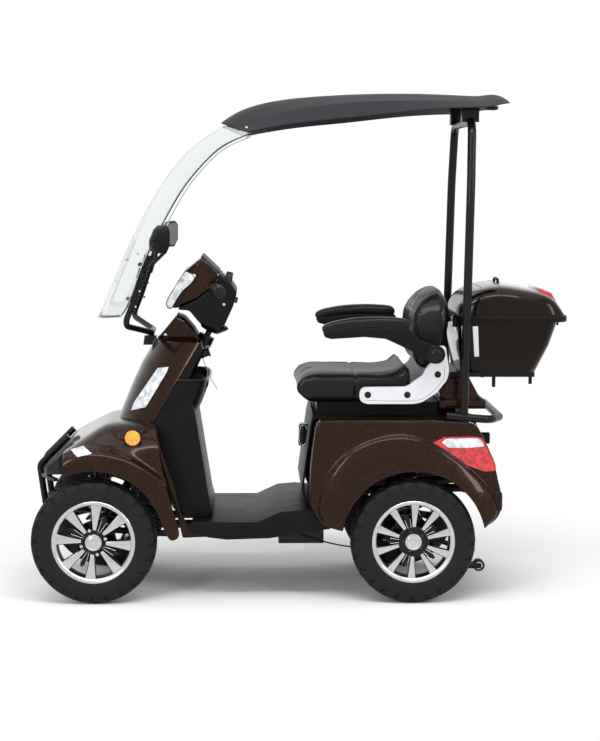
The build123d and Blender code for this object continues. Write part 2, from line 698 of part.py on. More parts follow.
def nose_cap():
    """Black nose in front of the hood, with its sides swept back over the wheels."""
    outline = ahead([(98.5, 494), (176, 424), (168, 408), (100, 424), (67, 438), (67, 466), (98.5, 466)])
    plan = [(FRONT_AXLE_X + x, y) for x, y in ((60, -300), (110, -280), (160, -210), (180, -110), (180, 110), (160, 210), (110, 280), (60, 300))]
    body = slab(outline, -300.0, 300.0) & plan_slab(plan, 380.0, 560.0)
    hollow = slab([(x - 5.0, z - 5.0) for x, z in ahead([(98.5, 494), (174, 424), (168, 300), (60, 300), (60, 476), (98.5, 476)])], -280.0, 280.0)
    plan_in = [(x - 5.0, y * 0.975) for x, y in plan]
    body = body - (hollow & plan_slab(plan_in, 200.0, 600.0))
    return largest(body - hood_block(-GAP))


def nose_lamps():
    """Two slanted lamps at the nose's upper corners."""
    return both_sides(slab(ahead(NOSE_LAMP), 200.0, 262.0))


def front_guard():
    """Tube guard from the hood's edge over the nose to the rails, with a bowed lip plate."""
    y = RAIL_Y + 8.0
    points = [(98.0, 522.0), (195.0, 425.0), (178.0, 300.0)]
    side = tube([(FRONT_AXLE_X + x, y, z) for x, z in points], [26.0], CROSS_R)
    z = 393.0

    def at(x, side_y, height):
        return (FRONT_AXLE_X + x, side_y, height)

    outer = ThreePointArc(at(134, -236, z), at(204, 0, z), at(134, 236, z))
    inner = ThreePointArc(at(120, 232, z), at(184, 0, z), at(120, -232, z))
    strip = make_face([outer, Line(at(134, 236, z), at(120, 232, z)), inner, Line(at(120, -232, z), at(134, -236, z))])
    lip = extrude(strip, amount=10.0, dir=(0, 0, 1))
    cross = rod(at(178, -y, 300), at(178, y, 300), CROSS_R)
    return joined(both_sides(side) + [lip, cross])


def rear_side_panels():
    """Side panels with a flared arch, its liner and openings for the lamps."""
    x = REAR_AXLE_X
    inner_y = TAIL_HALF + GAP
    outline = behind(REAR_SIDE)
    flare = spun([(BODY_HALF - 10, ARCH_R - 10), (ARCH_HALF, ARCH_R - 10), (ARCH_HALF, ARCH_R + 24),
                  (BODY_HALF, ARCH_R + 62), (BODY_HALF - 10, ARCH_R + 62)], x, 0.0, TYRE_R)
    flare_in = spun([(BODY_HALF - 40, ARCH_R + SKIN), (ARCH_HALF - SKIN, ARCH_R + SKIN), (ARCH_HALF - SKIN, ARCH_R + 22),
                     (BODY_HALF - 5, ARCH_R + 56), (BODY_HALF - 40, ARCH_R + 56)], x, 0.0, TYRE_R)
    limit = slab(outline, inner_y, ARCH_HALF + 5)
    whole = slab(outline, inner_y, BODY_HALF) + (flare & limit)
    middle_x, middle_z = x + 10.0, 420.0
    drawn_in = [(middle_x + (px - middle_x) * 0.985, middle_z + (pz - middle_z) * 0.975) for px, pz in outline]
    cavity = slab(drawn_in, inner_y - 5, BODY_HALF - SKIN) - rod((x, 0, TYRE_R), (x, 400, TYRE_R), ARCH_R + SKIN)
    cavity = cavity + (flare_in & slab(drawn_in, inner_y, ARCH_HALF))
    well = rod((x, 0, TYRE_R), (x, 400, TYRE_R), ARCH_R)
    lamp_room = slab(behind(grown(LAMP_SIDE, GAP)), LAMP_IN - GAP, 400.0)
    foot = rod((x + MAST_X, MAST_FOOT_Y, 560.0), (x + MAST_X, MAST_FOOT_Y, 620.0), RAIL_FOOT_R + GAP)
    reflector_room = slab(behind(grown(REFLECTOR_SIDE, GAP)), 262.0 - GAP, 400.0)
    panel = whole - cavity - well - lamp_room - foot - reflector_room
    return both_sides(largest(panel))


def grown(points, amount):
    """An outline pushed out from its own middle by amount at each corner."""
    mid_x = sum(p[0] for p in points) / len(points)
    mid_z = sum(p[1] for p in points) / len(points)
    moved = []
    for x, z in points:
        reach = math.hypot(x - mid_x, z - mid_z)
        factor = 1 + 2 * amount / reach
        moved.append((mid_x + (x - mid_x) * factor, mid_z + (z - mid_z) * factor))
    return moved


def tail_lamps():
    """Corner lamps and low reflectors."""
    outer = BODY_HALF + 1.0
    lamp = slab(behind(LAMP_SIDE), LAMP_IN, outer)
    reflector = slab(behind(REFLECTOR_SIDE), 262.0, outer - 3.0)
    return both_sides(lamp) + both_sides(reflector)


def tail_panel():
    """Rear wall between the side panels, with a round socket cap."""
    outer = [(-168, 594), (-210, 592), (-220, 556), (-260, 475), (-272, 436), (-274, 405), (-286, 379), (-289, 293), (-268, 267)]
    inner = [(-262, 270), (-284, 295), (-281, 378), (-269, 404), (-267, 436), (-255, 476), (-215, 557), (-206, 588), (-168, 590)]
    wall = slab(behind(outer + inner), -TAIL_HALF, TAIL_HALF)
    cap_x = REAR_AXLE_X - 248.0
    cap = rod((cap_x, 0, 501.0), (cap_x - 38.0, 0, 501.0), 20.0)
    return wall + cap


def seat_base_front():
    """Black panel below the seat that faces the rider's feet."""
    outline = behind([(317, 603), (326, 613), (334, 578), (363, 363), (346, 304), (338, 304), (356, 363), (327, 578), (317, 595)])
    return slab(outline, -TAIL_HALF, TAIL_HALF)


def seat_pedestal():
    """Deck plate over the rear body and the box that the seat stands on."""
    plate = block((REAR_AXLE_X - 160.0, -TAIL_HALF, DECK_PLATE_Z), (REAR_AXLE_X + 316.0, TAIL_HALF, 603.0))
    base = block((REAR_AXLE_X - 90.0, -170.0, 602.0), (REAR_AXLE_X + 312.0, 170.0, 648.0))
    return plate + base


def seat_cushion():
    """Padded seat, plain here."""
    outline = behind([(352, 650), (392, 690), (396, 716), (374, 752), (330, 767), (40, 771), (6, 800), (-8, 760), (-4, 652), (180, 648.5)])
    return slab(outline, -SEAT_HALF_WIDTH, SEAT_HALF_WIDTH, 8.0)


def seat_back():
    """Padded backrest, plain here."""
    outline = behind([(7, 812), (15, 883), (10, 964), (-16, 1010), (-58, 1036), (-88, 1038), (-116, 1020), (-126, 984), (-125, 933), (-108, 812), (-92, 752), (-12, 752)])
    return slab(outline, -BACK_HALF_WIDTH, BACK_HALF_WIDTH, 8.0)


def seat_side_brackets():
    """L brackets that join cushion and backrest, each with the armrest's pivot lug."""
    plate = slab(behind(BRACKET_SIDE), BRACKET_IN, BRACKET_OUT)
    x, z = REAR_AXLE_X + ARM_PIVOT_X, ARM_PIVOT_Z
    lug = slab([(x - 38.0, 770.0), (x + 18.0, 770.0), (x + 18.0, z + 22.0), (x - 24.0, z + 22.0)], BRACKET_IN, BRACKET_OUT - 4.0)
    pin = rod((x, BRACKET_IN, z), (x, ARMREST_OUT - 12.0, z), 8.0)
    stays = rod((REAR_AXLE_X + 100.0, SEAT_HALF_WIDTH + FIT, 681.0), (REAR_AXLE_X + 100.0, BRACKET_IN + 2.0, 681.0), 9.0)
    back_stay = rod((REAR_AXLE_X - 60.0, BACK_HALF_WIDTH + FIT, 775.0), (REAR_AXLE_X - 60.0, BRACKET_IN + 2.0, 775.0), 9.0)
    return both_sides(joined([plate, lug, pin, stays, back_stay]))


def armrest(side):
    """Folding arm with its pad, turning on the bracket's pin."""
    outline = behind([
        (307, 900), (296, 914), (262, 925), (202, 936), (116, 940), (24, 934), (14, 900), (-12, 866), (-58, 850),
        (-96, 830), (-92, 800), (-60, 788), (-36, 797), (3, 826), (53, 850), (97, 870), (165, 876), (272, 869), (300, 884),
    ])
    low, high = sorted((side * ARMREST_IN, side * ARMREST_OUT))
    arm = slab(outline, low, high)
    x, z = REAR_AXLE_X + ARM_PIVOT_X, ARM_PIVOT_Z
    boss = rod((x, low, z), (x, high, z), ARM_BOSS_R)
    bore_low, bore_high = sorted((side * (ARMREST_IN - 1.0), side * (ARMREST_OUT - 12.0 + FIT)))
    return arm + boss - rod((x, bore_low, z), (x, bore_high, z), 8.0 + FIT)


def tail_cover():
    """Brown-edged cover behind the seat and the pedestal under the rack."""
    tray = block((REAR_AXLE_X - 245.0, -205.0, 628.0), (REAR_AXLE_X - 92.0, 205.0, 655.0))
    foot = block((REAR_AXLE_X - 156.0, -120.0, SEAT_DECK_Z + GAP), (REAR_AXLE_X - 96.0, 120.0, 629.0))
    seat = RACK_LOW - FIT
    hump = slab(behind([(-100, 654), (-100, 700), (-120, seat), (-196, seat), (-236, 654)]), -125.0, 125.0)
    return tray + foot + hump


def rail_height(x):
    """The rail's middle height, which falls towards the back."""
    return 616.0 + (x + 105.0) * 0.086


def rear_rail():
    """Tube loop round the tail that carries the roof posts."""
    run = [(-105.0, POST_FOOT_Y), (-248.0, POST_FOOT_Y), (-292.0, 190.0)]
    points = run + [(x, -y) for x, y in reversed(run)]
    path = [(REAR_AXLE_X + x, y, rail_height(x)) for x, y in points]
    loop = tube(path, [45.0, 45.0, 45.0, 45.0], RAIL_TUBE_R)
    foot = rod((REAR_AXLE_X + MAST_X, MAST_FOOT_Y, MAST_BEAM_Z + CROSS_R + GAP), (REAR_AXLE_X + MAST_X, MAST_FOOT_Y, 616.0), RAIL_FOOT_R)
    return joined([loop] + both_sides(foot))


def roof_face(row, top=0.0, bottom=ROOF_SKIN):
    """One closed cross-section of the roof, from top to bottom below its outside: flat, crease and flange."""
    end, mid_x, mid_z, edge_x, edge_z, share, half = row
    base = FRONT_AXLE_X if end == "front" else REAR_AXLE_X
    fall_x, fall_z = edge_x - mid_x, edge_z - mid_z
    length = math.hypot(fall_x, fall_z)
    down = (fall_x / length, fall_z / length)
    crease_y, flat_y = half * CREASE_SHARE, half * FLAT_SHARE
    outer = [(half, 1.0), (crease_y, share), (flat_y, FLAT_FALL)]
    inner = [(half - ROOF_SKIN, 1.0), (crease_y - ROOF_SKIN, share), (flat_y, FLAT_FALL)]

    def at(y, part, lower):
        return (base + mid_x + fall_x * part + down[0] * lower, y, mid_z + fall_z * part + down[1] * lower)

    corners = [at(-y, part, top) for y, part in outer] + [at(y, part, top) for y, part in reversed(outer)]
    edge_drop = top if bottom == ROOF_SKIN else bottom
    under = [at(y, part, bottom if part < 1.0 else edge_drop) for y, part in inner]
    corners += under + [(x, -y, z) for x, y, z in reversed(under)]
    return make_face(Polyline(*corners, close=True).edges())


def roof_shell():
    """Moulded roof skin, creased along its sides and turned up at its rear lip."""
    return loft([roof_face(row) for row in ROOF_SECTIONS], ruled=True)


def roof_posts():
    """Two posts joined by a top tube, with pads that carry the roof."""
    x = REAR_AXLE_X
    foot = (x - 162.0, POST_FOOT_Y, rail_height(-162.0) + RAIL_TUBE_R - 2.0)
    kink = (x - 177.0, POST_KINK_Y, 1369.0)
    head = (x - 182.0, POST_HEAD_Y, POST_TOP_Z)
    points = [foot, kink, head, (head[0], -head[1], head[2]), (kink[0], -kink[1], kink[2]), (foot[0], -foot[1], foot[2])]
    hoop = tube(points, [400.0, 55.0, 55.0, 400.0], POST_R)
    pad = block((x - 212.0, 140.0, POST_TOP_Z), (x - 156.0, 178.0, 1670.0))
    brackets = both_sides(largest(pad - above_roof()))
    return joined([hoop] + brackets) - cylinder_seat()


def above_roof():
    """Everything above the roof's underside near the posts, less the seat's clearance."""
    return loft([roof_face(row, -60.0, ROOF_SKIN + FIT) for row in ROOF_SECTIONS[5:8]], ruled=True)


def cylinder_seat():
    """The rail tube's upper side, cut from the posts' feet so that they sit on it."""
    x = REAR_AXLE_X
    start = (x - 105.0, POST_FOOT_Y, rail_height(-105.0))
    end = (x - 248.0, POST_FOOT_Y, rail_height(-248.0))
    left = rod(start, end, RAIL_TUBE_R + FIT)
    return left + mirror(left, about=Plane.XZ)


def screen_face(row, front=0.0, back=SCREEN_SKIN):
    """One bowed cross-section of the clear screen, from front to back behind its outside."""
    mid_x, mid_z, edge_x, edge_z = row
    reach = math.hypot(mid_x - edge_x, mid_z - edge_z)
    run = ((mid_x - edge_x) / reach, (mid_z - edge_z) / reach)

    def shifted(depth):
        corners = ((edge_x, -SCREEN_HALF, edge_z), (mid_x, 0, mid_z), (edge_x, SCREEN_HALF, edge_z))
        return [(FRONT_AXLE_X + x - run[0] * depth, y, z - run[1] * depth) for x, y, z in corners]

    a, b, c = shifted(front)
    d, e, f = shifted(back)
    return make_face([ThreePointArc(a, b, c), Line(c, f), ThreePointArc(f, e, d), Line(d, a)])


def windshield():
    """Clear bowed screen."""
    return loft([screen_face(row) for row in SCREEN], ruled=True)


def screen_frame():
    """Bent tube behind the screen's edges, with the clamp that holds it on the cowl."""
    half = [(-178.0, SCREEN_TUBE_Y, 1132.0), (-128.0, SCREEN_TUBE_Y, 978.0), (-98.0, SCREEN_TUBE_Y, 903.0), (-178.0, 62.0, 868.0)]
    points = half + [(x, -y, z) for x, y, z in reversed(half)]
    path = [(FRONT_AXLE_X + x, y, z) for x, y, z in points]
    loop = tube(path, [200.0, 30.0, 30.0, 30.0, 30.0, 200.0], SCREEN_TUBE_R)
    stub = rod((FRONT_AXLE_X - 178.0, 0, 868.0), (FRONT_AXLE_X - 168.0, 0, 840.0), SCREEN_TUBE_R)
    clamp = slab(ahead([(-177.5, 822), (-191.5, 845), (-191.5, 852), (-152, 852), (-148, 822)]), -22.0, 22.0)
    sleeve = rod((FRONT_AXLE_X - 163.0, SCREEN_TUBE_Y, 1086.0), (FRONT_AXLE_X - 153.0, SCREEN_TUBE_Y, 1055.0), SCREEN_TUBE_R + 4.0)
    ahead_of_screen = loft([screen_face(row, -40.0, SCREEN_SKIN + FIT) for row in SCREEN[:4]], ruled=True)
    bosses = []
    for x, z in ((-131.0, 988.0), (-168.0, 1100.0)):
        boss = rod((FRONT_AXLE_X + x, SCREEN_TUBE_Y, z), (FRONT_AXLE_X + x + 40.0, SCREEN_TUBE_Y, z + 6.0), 6.0)
        bosses += both_sides(largest(boss - ahead_of_screen))
    elbow_x, elbow_y = FRONT_AXLE_X + MIRROR_X + 6.0, MIRROR_Y - 14.0
    stalk = tube(
        [(FRONT_AXLE_X - 158.0, SCREEN_TUBE_Y, 1072.0), (elbow_x, elbow_y, 1120.0),
         (elbow_x, elbow_y, MIRROR_Z - MIRROR_HIGH / 2 - FIT)],
        [12.0], 6.0,
    )
    return joined([loop, stub, clamp] + both_sides(sleeve) + both_sides(stalk) + bosses)


def mirror_block(grow=0.0):
    """The left mirror's housing, turned towards the rider."""
    size = (MIRROR_DEEP + 2 * grow, MIRROR_WIDE + 2 * grow, MIRROR_HIGH + 2 * grow)
    return Pos(FRONT_AXLE_X + MIRROR_X, MIRROR_Y, MIRROR_Z) * Rot(0, 0, MIRROR_TURN) * Box(*size)


def mirror_glass():
    """The glass on the housing's rear face."""
    place = Pos(FRONT_AXLE_X + MIRROR_X, MIRROR_Y, MIRROR_Z) * Rot(0, 0, MIRROR_TURN)
    return place * Pos(-MIRROR_DEEP / 2 - 1.5 - GAP / 2, 0, 0) * Box(3.0, MIRROR_WIDE - 8.0, MIRROR_HIGH - 8.0)


def box_rack():
    """Carrier frame under the top box with its pegs."""
    outer = block((REAR_AXLE_X - 413.0, -150.0, RACK_LOW), (REAR_AXLE_X - 130.0, 150.0, RACK_TOP))
    windows = [block((REAR_AXLE_X - 398.0, y, 700.0), (REAR_AXLE_X - 215.0, y + 84.0, 800.0)) for y in (-134.0, -42.0, 50.0)]
    pegs = []
    for x, low in ((-278.0, 694.0), (-400.0, 704.0)):
        pegs += both_sides(rod((REAR_AXLE_X + x, 142.0, low), (REAR_AXLE_X + x, 142.0, RACK_LOW + 4), 6.0))
    frame = outer
    for window in windows:
        frame = frame - window
    return joined([frame] + pegs)


def box_section(z, front_x, rear_x, half, corner):
    """One level outline of the top box with rounded corners."""
    x0, x1 = REAR_AXLE_X + rear_x, REAR_AXLE_X + front_x
    corners = [(x0, -half, z), (x1, -half, z), (x1, half, z), (x0, half, z)]
    return make_face(FilletPolyline(*corners, radius=corner, close=True).edges())


def top_box_body():
    """Lower half of the top box, open upwards."""
    outer = loft([
        box_section(RACK_TOP + GAP, -166.0, -415.0, 176.0, 40.0),
        box_section(838.0, -156.0, -456.0, 202.0, 40.0),
        box_section(LID_LOW_Z - FIT, BOX_FRONT, -480.0, 212.0, 40.0),
    ], ruled=True)
    inner = loft([
        box_section(RACK_TOP + GAP + BOX_SKIN, -166.0 - BOX_SKIN, -415.0 + BOX_SKIN, 176.0 - BOX_SKIN, 36.0),
        box_section(838.0, -156.0 - BOX_SKIN, -456.0 + BOX_SKIN, 202.0 - BOX_SKIN, 36.0),
        box_section(LID_LOW_Z + 1.0, BOX_FRONT - BOX_SKIN, -480.0 + BOX_SKIN, 212.0 - BOX_SKIN, 36.0),
    ], ruled=True)
    return joined([outer - inner] + both_sides(lid_lug()))


def lid_axis(y):
    """A point on the lid's hinge axis."""
    return (REAR_AXLE_X + LID_HINGE_X, y, LID_HINGE_Z)


def lid_lug():
    """Lug on the box's front wall that holds one hinge pin."""
    x = REAR_AXLE_X + LID_HINGE_X
    low = LID_BARREL_Y + LID_LUG_HALF + GAP
    lug = block((REAR_AXLE_X + BOX_FRONT - 2.0, low, LID_HINGE_Z - 34.0), (x + 5.0, low + 8.0, LID_LOW_Z - 1.0))
    riser = block((x - 2.5, low, LID_LOW_Z - 2.0), (x + LID_EAR_R, low + 8.0, LID_HINGE_Z))
    ear = rod(lid_axis(low), lid_axis(low + 8.0), LID_EAR_R)
    pin = rod(lid_axis(LID_BARREL_Y - LID_LUG_HALF), lid_axis(low + 4.0), LID_PIN_R)
    return joined([lug, riser, ear, pin])


def lid_barrel():
    """Barrel on the lid that turns on the pin."""
    barrel = rod(lid_axis(LID_BARREL_Y - LID_LUG_HALF), lid_axis(LID_BARREL_Y + LID_LUG_HALF), LID_BARREL_R)
    x = REAR_AXLE_X + BOX_FRONT
    low, high = LID_BARREL_Y - LID_LUG_HALF, LID_BARREL_Y + LID_LUG_HALF
    leaf = block((x - 6.0, low, LID_HINGE_Z), (REAR_AXLE_X + LID_HINGE_X, high, LID_HINGE_Z + LID_BARREL_R))
    return barrel + leaf


def lid_bore():
    """Bore of the barrel."""
    return rod(lid_axis(LID_BARREL_Y - LID_LUG_HALF - 1.0), lid_axis(LID_BARREL_Y + LID_LUG_HALF + 1.0), LID_PIN_R + FIT)


def box_lid():
    """Domed lid with its rim band, hinged along its front edge."""
    band = extrude(box_section(LID_LOW_Z, BOX_FRONT, -REAR_REACH, 222.0, 50.0), amount=LID_BAND, dir=(0, 0, 1))
    dome = lid_dome([(-157, 930), (-163, 982), (-217, 1022), (-275, 1038), (-314, 1031), (-412, 1018), (-471, 995),
                     (-499, 950), (-505, 930)], 0.0)
    hollow = lid_dome([(-162, 900), (-168, 980), (-219, 1016), (-275, 1032), (-314, 1025), (-410, 1012), (-466, 990),
                       (-494, 950), (-500, 900)], BOX_SKIN + 1.0)
    lid = joined([band, dome] + both_sides(lid_barrel()))
    for cut in [hollow, lens_room(GAP)] + both_sides(lid_bore()):
        lid = lid - cut
    return lid


def lid_dome(side_outline, inset):
    """The lid's domed solid: a side outline met by level outlines that draw in towards the top."""
    low_z = side_outline[0][1]
    rows = [(low_z, -155.0, -507.0, 216.0), (990.0, -160.0, -490.0, 205.0), (1042.0, -200.0, -450.0, 150.0)]
    levels = [box_section(z, front - inset, rear + inset, half - inset, 48.0 - inset) for z, front, rear, half in rows]
    return slab(behind(side_outline), -225.0, 225.0) & loft(levels, ruled=True)


def lens_room(grow):
    """Space of the red lens at the lid's rear."""
    outline = [(-430, 1000), (-430, 1030), (-470, 1012), (-492, 972), (-488, 955), (-470, 965)]
    return slab(behind(grown(outline, grow)), -120.0 - grow, 120.0 + grow)


def box_lens():
    """Red lens at the lid's rear."""
    return slab(behind([(-430, 1000), (-430, 1022), (-470, 1006), (-492, 968), (-488, 955), (-470, 965)]), -120.0, 120.0)


def anti_tip_frame():
    """Two bars behind the rear axle that hold the small wheels."""
    y = ANTI_TIP_Y
    wheel_x = REAR_AXLE_X + ANTI_TIP_X
    z = ANTI_TIP_Z
    bar = tube([(REAR_AXLE_X - 10.0, y, 199.0), (REAR_AXLE_X - 130.0, y, 120.0), (wheel_x + 26.0, y, z)], [60.0], 9.0)
    fork = block((wheel_x - 8.0, y - 20.0, z - 8.0), (wheel_x + 40.0, y + 20.0, z + 8.0))
    fork = fork - block((wheel_x - 30.0, y - 13.0, 0), (wheel_x + 26.0, y + 13.0, 200))
    pin = rod((wheel_x, y - 18.0, z), (wheel_x, y + 18.0, z), ANTI_TIP_PIN_R)
    side = joined([bar, fork, pin])
    return both_sides(side - rod((REAR_AXLE_X, 0, TYRE_R), (REAR_AXLE_X, 300, TYRE_R), REAR_TUBE_R + FIT))


def anti_tip_wheel(side):
    """Small wheel of the anti-tip bar."""
    x, y, z = REAR_AXLE_X + ANTI_TIP_X, side * ANTI_TIP_Y, ANTI_TIP_Z
    wheel = rod((x, y - 11.0, z), (x, y + 11.0, z), ANTI_TIP_R)
    return wheel - rod((x, y - 12.0, z), (x, y + 12.0, z), ANTI_TIP_PIN_R + FIT)


def cord_radii(path):
    """The largest bend at each inner point that leaves a straight stretch between bends."""
    radii = []
    for before, point, after in zip(path, path[1:], path[2:]):
        turn = math.radians((point - before).get_angle(after - point))
        shorter = min((point - before).length, (after - point).length)
        radii.append(0.45 * shorter / math.tan(turn / 2))
    return radii


def brake_cable():
    """Cable from the deck's underside to the left rear brake."""
    y = TRAY_HALF + CABLE_R + FIT
    drum_face = TRACK_HALF - FLANGE_HALF - 16.0 - FIT - 1.0
    points = [
        (380.0, y, 203.0), (330.0, y, 188.0), (280.0, y, 172.0), (226.0, y, 160.0), (170.0, y, 153.0),
        (114.0, y + 5.0, 150.0), (66.0, y + 21.0, 150.0), (36.0, y + 48.0, 152.0), (26.0, drum_face, 156.0),
    ]
    path = [Vector(REAR_AXLE_X + a, b, c) for a, b, c in points]
    return tube(path, cord_radii(path), CABLE_R)


def battery_block():
    """The battery pack as one plain mass inside the rear body."""
    seat = REAR_RAIL_Z + RAIL_R + 3.2
    return block((REAR_AXLE_X + 75.0, -RAIL_Y - 10.0, seat), (REAR_AXLE_X + 225.0, RAIL_Y + 10.0, 560.0))


def head_cowl():
    """Brown upper half of the steering head, hollow behind the headlight."""
    plan = [(FRONT_AXLE_X + x, y) for x, y in ((-225, -78), (-260, -112), (-330, -142), (-410, -150), (-410, 150), (-330, 142), (-260, 112), (-225, 78))]
    body = slab(ahead(HEAD_TOP), -160.0, 160.0) & plan_slab(plan, 900.0, 1150.0)
    lamp = headlight_block(GAP)
    return above_head_floor(body - lamp - rod(bar_point(-300), bar_point(300), BAR_R + GAP))


def bar_point(y):
    """A point of the handlebar's middle line."""
    x, _, z = on_axis(BAR_ALONG, BAR_OUT)
    return (x, y, z)


def headlight_block(grow):
    """The headlight's body behind its lens."""
    outline = [(-294, 1074), (-326, 1066), (-318, 1040), (-270, 975), (-256, 952), (-234, 953), (-229, 970)]
    plan = [(FRONT_AXLE_X + x, y) for x, y in ((-222 + grow, -72 - grow), (-330, -96 - grow), (-330, 96 + grow), (-222 + grow, 72 + grow))]
    return slab(ahead(grown(outline, grow) if grow else outline), -100.0 - grow, 100.0 + grow) & plan_slab(plan, 900.0, 1150.0)


def above_head_floor(body):
    """The part of the head above the level that turns clear of the cowl, with its neck inside a cone."""
    room = spun_axis([
        (NECK_FOOT, 0.0), (NECK_FOOT, 30.0), (NECK_TOP, 58.0), (NECK_TOP, 100.0), (HEAD_FLOOR, 130.0),
        (HEAD_FLOOR, 400.0), (500.0, 400.0), (500.0, 0.0),
    ])
    return body & room


def head_console():
    """Black lower and rear half of the head with the neck round the shaft."""
    neck = spun_axis([(NECK_FOOT, 0.0), (NECK_FOOT, 29.0), (NECK_TOP, 57.0), (NECK_TOP + 8, 57.0), (NECK_TOP + 8, 0.0)])
    body = slab(ahead(HEAD_REAR), -140.0, 140.0)
    body = above_head_floor(body + neck)
    shaft = rod(on_axis(-20.0), on_axis(BAR_ALONG + 12.0), SHAFT_R + 4.0)
    shaft = shaft + rod(on_axis(BAR_ALONG), bar_point(0), SHAFT_R)
    return largest(body - shaft - rod(bar_point(-300), bar_point(300), BAR_R + GAP) - head_block_clear())


def head_block_clear():
    """The cowl's space, so that the two halves meet without overlap."""
    return slab(ahead(HEAD_TOP), -300.0, 300.0) + headlight_block(GAP)


def handlebar():
    """Cross bar with its clamp on the shaft and a grip at each end."""
    mid = bar_point(0)
    pieces = [rod(bar_point(-196), bar_point(196), BAR_R), rod(on_axis(BAR_ALONG - 11.7), on_axis(BAR_ALONG + 10.0), SHAFT_R + 3)]
    clamp = rod(on_axis(BAR_ALONG), mid, SHAFT_R - GAP)
    pieces.append(clamp)
    for side in (-1, 1):
        start = bar_point(side * 194.0)
        end = (start[0] - 22.0, side * 328.0, start[2] - 9.0)
        pieces.append(rod(start, end, 17.0))
    return joined(pieces)


save("underframe", underframe())
save("front_axle", front_axle())
save("rear_axle", rear_axle())
save("shock_absorbers", shock_absorbers())
save("battery_block", battery_block())
save("footboard", footboard())
save("leg_shield", leg_shield())
save("inner_panel", inner_panel())
save("upper_cowl", upper_cowl())
save("front_pocket", front_pocket())
save("front_lamps", side_lamps() + nose_lamps())
save("front_hood", front_hood())
save("nose_cap", nose_cap())
save("front_guard", front_guard())
save("indicator_lamps", indicator_lamps())
save("rear_side_panels", rear_side_panels())
save("seat_base_front", seat_base_front())
save("seat_pedestal", seat_pedestal())
save("tail_panel", tail_panel())
save("tail_lamps", tail_lamps())
save("tail_cover", tail_cover())
save("rear_rail", rear_rail())
save("roof_posts", roof_posts())
save("roof_shell", roof_shell())
save("windshield", windshield())
save("screen_frame", screen_frame())
save("mirror_housings", both_sides(mirror_block()))
save("mirror_glasses", both_sides(mirror_glass()))
save("box_rack", box_rack())
save("top_box_body", top_box_body())
save("box_lid", box_lid())
save("box_lens", box_lens())
save("seat_cushion", seat_cushion())
save("seat_back", seat_back())
save("seat_side_brackets", seat_side_brackets())
save("anti_tip_frame", anti_tip_frame())
save("brake_cable", brake_cable())
save("steering_shaft", steering_shaft())
save("head_cowl", head_cowl())
save("head_console", head_console())
save("headlight", headlight_block(0.0))
save("handlebar", handlebar())
save("tie_rod", tie_rod())
for side_name, side in (("left", 1), ("right", -1)):
    save("knuckle_" + side_name, knuckle(side))
    save("armrest_" + side_name, armrest(side))
    save("anti_tip_wheel_" + side_name, anti_tip_wheel(side))
    save("tyre_front_" + side_name, tyre(FRONT_AXLE_X, side))
    save("rim_front_" + side_name, rim(FRONT_AXLE_X, side, FRONT_SPOKES, FRONT_HUB_R))
    save("tyre_rear_" + side_name, tyre(REAR_AXLE_X, side))
    save("rim_rear_" + side_name, rim(REAR_AXLE_X, side, REAR_SPOKES, REAR_HUB_R))
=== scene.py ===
"""Dresses a roofed four-wheel mobility scooter.

It builds the studio, the finishes, the bodywork, wheels, seat, steering head, weather cover and luggage.
"""

from __future__ import annotations

import json
import logging
import math
from collections.abc import Callable, Iterable, Sequence
from dataclasses import dataclass, field
from enum import Enum
from typing import Any

import bmesh
import bpy
from mathutils import Matrix, Vector

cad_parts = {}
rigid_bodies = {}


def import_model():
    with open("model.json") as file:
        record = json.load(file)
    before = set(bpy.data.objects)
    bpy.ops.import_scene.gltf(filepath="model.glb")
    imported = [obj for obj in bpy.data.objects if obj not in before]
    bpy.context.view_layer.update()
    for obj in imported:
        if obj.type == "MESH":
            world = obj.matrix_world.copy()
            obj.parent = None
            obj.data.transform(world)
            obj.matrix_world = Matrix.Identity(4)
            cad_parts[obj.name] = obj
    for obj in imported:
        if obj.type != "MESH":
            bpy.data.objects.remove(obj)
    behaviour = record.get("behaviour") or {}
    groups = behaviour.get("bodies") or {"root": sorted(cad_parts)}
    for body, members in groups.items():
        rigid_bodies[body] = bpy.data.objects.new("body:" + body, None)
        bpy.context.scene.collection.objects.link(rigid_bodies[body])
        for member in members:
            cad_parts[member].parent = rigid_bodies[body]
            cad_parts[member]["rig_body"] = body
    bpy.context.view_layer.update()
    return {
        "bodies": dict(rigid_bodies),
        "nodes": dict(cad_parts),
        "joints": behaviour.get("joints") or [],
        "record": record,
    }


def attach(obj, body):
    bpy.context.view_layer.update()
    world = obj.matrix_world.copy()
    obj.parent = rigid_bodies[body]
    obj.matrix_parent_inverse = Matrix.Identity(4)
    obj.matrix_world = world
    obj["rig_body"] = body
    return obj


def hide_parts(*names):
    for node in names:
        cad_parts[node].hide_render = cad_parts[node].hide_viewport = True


LOG = logging.getLogger("scooter")
MM = 0.001
FRONT_X = 673.5
REAR_X = -366.5
AXLE_Z = 205.0
TRACK = 280.0
ARCH_R = 234.0
ARM_PIVOT_X = REAR_X - 66.0
ARM_PIVOT_Z = 819.0

Point = tuple[float, float, float]
Flat = tuple[float, float]
Tree = bpy.types.NodeTree
Node = bpy.types.Node
Socket = bpy.types.NodeSocket


class Side(Enum):
    """The scooter's left (towards +Y) or right."""

    LEFT = 1
    RIGHT = -1


class Axis(Enum):
    """The axis that a round or a slab is built along."""

    X = 0
    Y = 1
    Z = 2


def front(points: Iterable[Flat]) -> list[Flat]:
    """Moves (x, z) points that are given from the front axle's x."""
    return [(FRONT_X + x, z) for x, z in points]


def once(side: Side, node: str) -> list[str]:
    """Names a node that both sides stand for, with the left side only."""
    return [node] if side is Side.LEFT else []


def rear(points: Iterable[Flat]) -> list[Flat]:
    """Moves (x, z) points that are given from the rear axle's x."""
    return [(REAR_X + x, z) for x, z in points]


